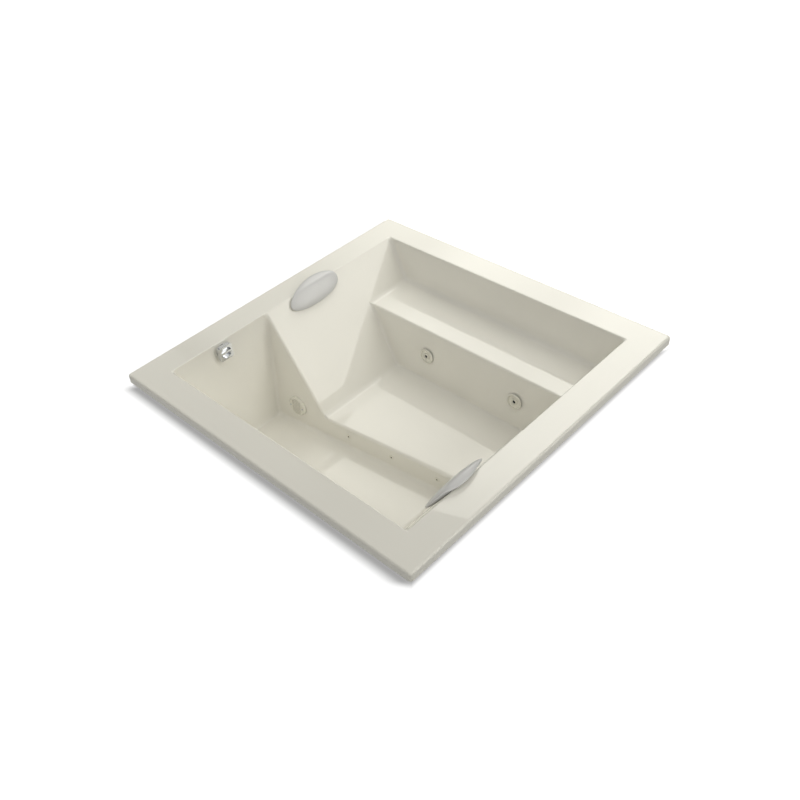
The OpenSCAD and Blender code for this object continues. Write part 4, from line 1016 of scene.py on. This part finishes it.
# Soft box that the acrylic mirrors: its corners, the strength of its three parts, and the ways in x
# or y over which each part starts and is full, in metres
KEY_HEIGHT = 3.0
KEY_CORNERS = [(-0.56, 1.12), (-0.56, 4.4), (-4.2, 4.4), (-4.2, 1.05), (-1.6, 0.72)]
KEY_COLOUR = (1.0, 0.99, 0.92, 1)
KEY_RIGHT = 4.9
KEY_MIDDLE = 2.3
KEY_REAR = 1.0
KEY_RIGHT_X = (-1.6, -0.95)
KEY_RIGHT_Y = (0.9, 2.1)
KEY_NEAR_SHARE = 0.5
KEY_MIDDLE_Y = (1.0, 1.45)
KEY_MIDDLE_X = (-3.2, -2.5)
KEY_LEFT_X = (-4.6, -3.4)
KEY_LEFT_SHARE = 0.35
KEY_REAR_Y = (2.3, 3.4)


def key_paint():
    """Glow of a bright strip at the right, a part in the middle and a weak one at the rear."""
    material = bpy.data.materials.new("key_glow")
    tree = empty_tree(material)
    x, y = ways(tree)
    right = rise(tree, x, *KEY_RIGHT_X)
    left = rise(tree, x, *KEY_LEFT_X)
    farther = times(tree, rise(tree, y, *KEY_RIGHT_Y), 1 - KEY_NEAR_SHARE)
    strip = times(tree, right, maths(tree, "ADD", farther, KEY_NEAR_SHARE), KEY_RIGHT)
    inner = times(tree, rise(tree, x, *KEY_MIDDLE_X), 1 - KEY_LEFT_SHARE)
    across = maths(tree, "ADD", times(tree, left, KEY_LEFT_SHARE), inner)
    middle = times(tree, rise(tree, y, *KEY_MIDDLE_Y), across, KEY_MIDDLE)
    rear = times(tree, rise(tree, y, *KEY_REAR_Y), left, KEY_REAR)
    spread = times(tree, maths(tree, "ADD", middle, rear), opposite(tree, right))
    light = glow(tree, KEY_COLOUR, maths(tree, "ADD", spread, strip))
    finish_tree(tree, "ShaderNodeOutputMaterial", light)
    return material


key = stage_object("key_box", [[(x, y, KEY_HEIGHT) for x, y in KEY_CORNERS]], key_paint())
key.visible_camera = False

# Sky: soft round lobes, each as azimuth, height and radius in degrees, and strength
SKY_COLOUR = (1.0, 0.99, 0.93, 1)
SKY_MIRRORED = 0.25
LOBES = [
    (0, 62, 32, 0.9),
    (270, 62, 32, 1.0),
    (100, 66, 32, 0.75),
    (270, 10, 40, 0.95),
    (0, 35, 34, 0.5),
    (32, 22, 22, 3.6),
    (165, 20, 30, 0.4),
]


def lobe(sky, way, azimuth, height, radius, strength):
    """Soft round patch of sky about one direction."""
    nearness = sky.nodes.new("ShaderNodeVectorMath")
    nearness.operation = "DOT_PRODUCT"
    middle = (cosine(azimuth) * cosine(height), sine(azimuth) * cosine(height), sine(height))
    nearness.inputs[1].default_value = middle
    sky.links.new(way, nearness.inputs[0])
    return times(sky, rise(sky, nearness.outputs["Value"], cosine(radius), 1), strength)


def make_world():
    """A sky of lobes, which the camera sees as white and mirrors see mixed with a little white."""
    world = bpy.data.worlds.new("studio")
    scene.world = world
    sky = empty_tree(world)
    way = sky.nodes.new("ShaderNodeTexCoord").outputs["Generated"]
    fill = sky.nodes.new("ShaderNodeBackground")
    fill.inputs["Color"].default_value = SKY_COLOUR
    sky.links.new(maths(sky, "ADD", *[lobe(sky, way, *row) for row in LOBES]), fill.inputs["Strength"])
    plain = sky.nodes.new("ShaderNodeBackground")
    plain.inputs["Color"].default_value = WHITE
    mix = join_shaders(sky, "ShaderNodeMixShader", fill.outputs[0], plain.outputs[0])
    sky.links.new(seen(sky, SKY_MIRRORED), mix.inputs[0])
    finish_tree(sky, "ShaderNodeOutputWorld", mix.outputs[0])


make_world()

# Camera, solved from the eight rim corners of the photograph

SENSOR = 36
LENS = 39.7717
LENS_SHIFT = (0.02829, 0.00272)
CAMERA_AT = (1.951056, -1.922644, 2.780293)
CAMERA_TURN = (0.850929, 0.369072, 0.183658, 0.325538)


def make_camera():
    lens = bpy.data.cameras.new("camera")
    lens.sensor_width = SENSOR
    lens.lens = LENS
    lens.shift_x, lens.shift_y = LENS_SHIFT
    camera = bpy.data.objects.new("camera", lens)
    camera.rotation_mode = "QUATERNION"
    camera.location = CAMERA_AT
    camera.rotation_quaternion = Quaternion(CAMERA_TURN)
    scene.collection.objects.link(camera)
    scene.camera = camera


make_camera()

scene.view_settings.view_transform = "Standard"
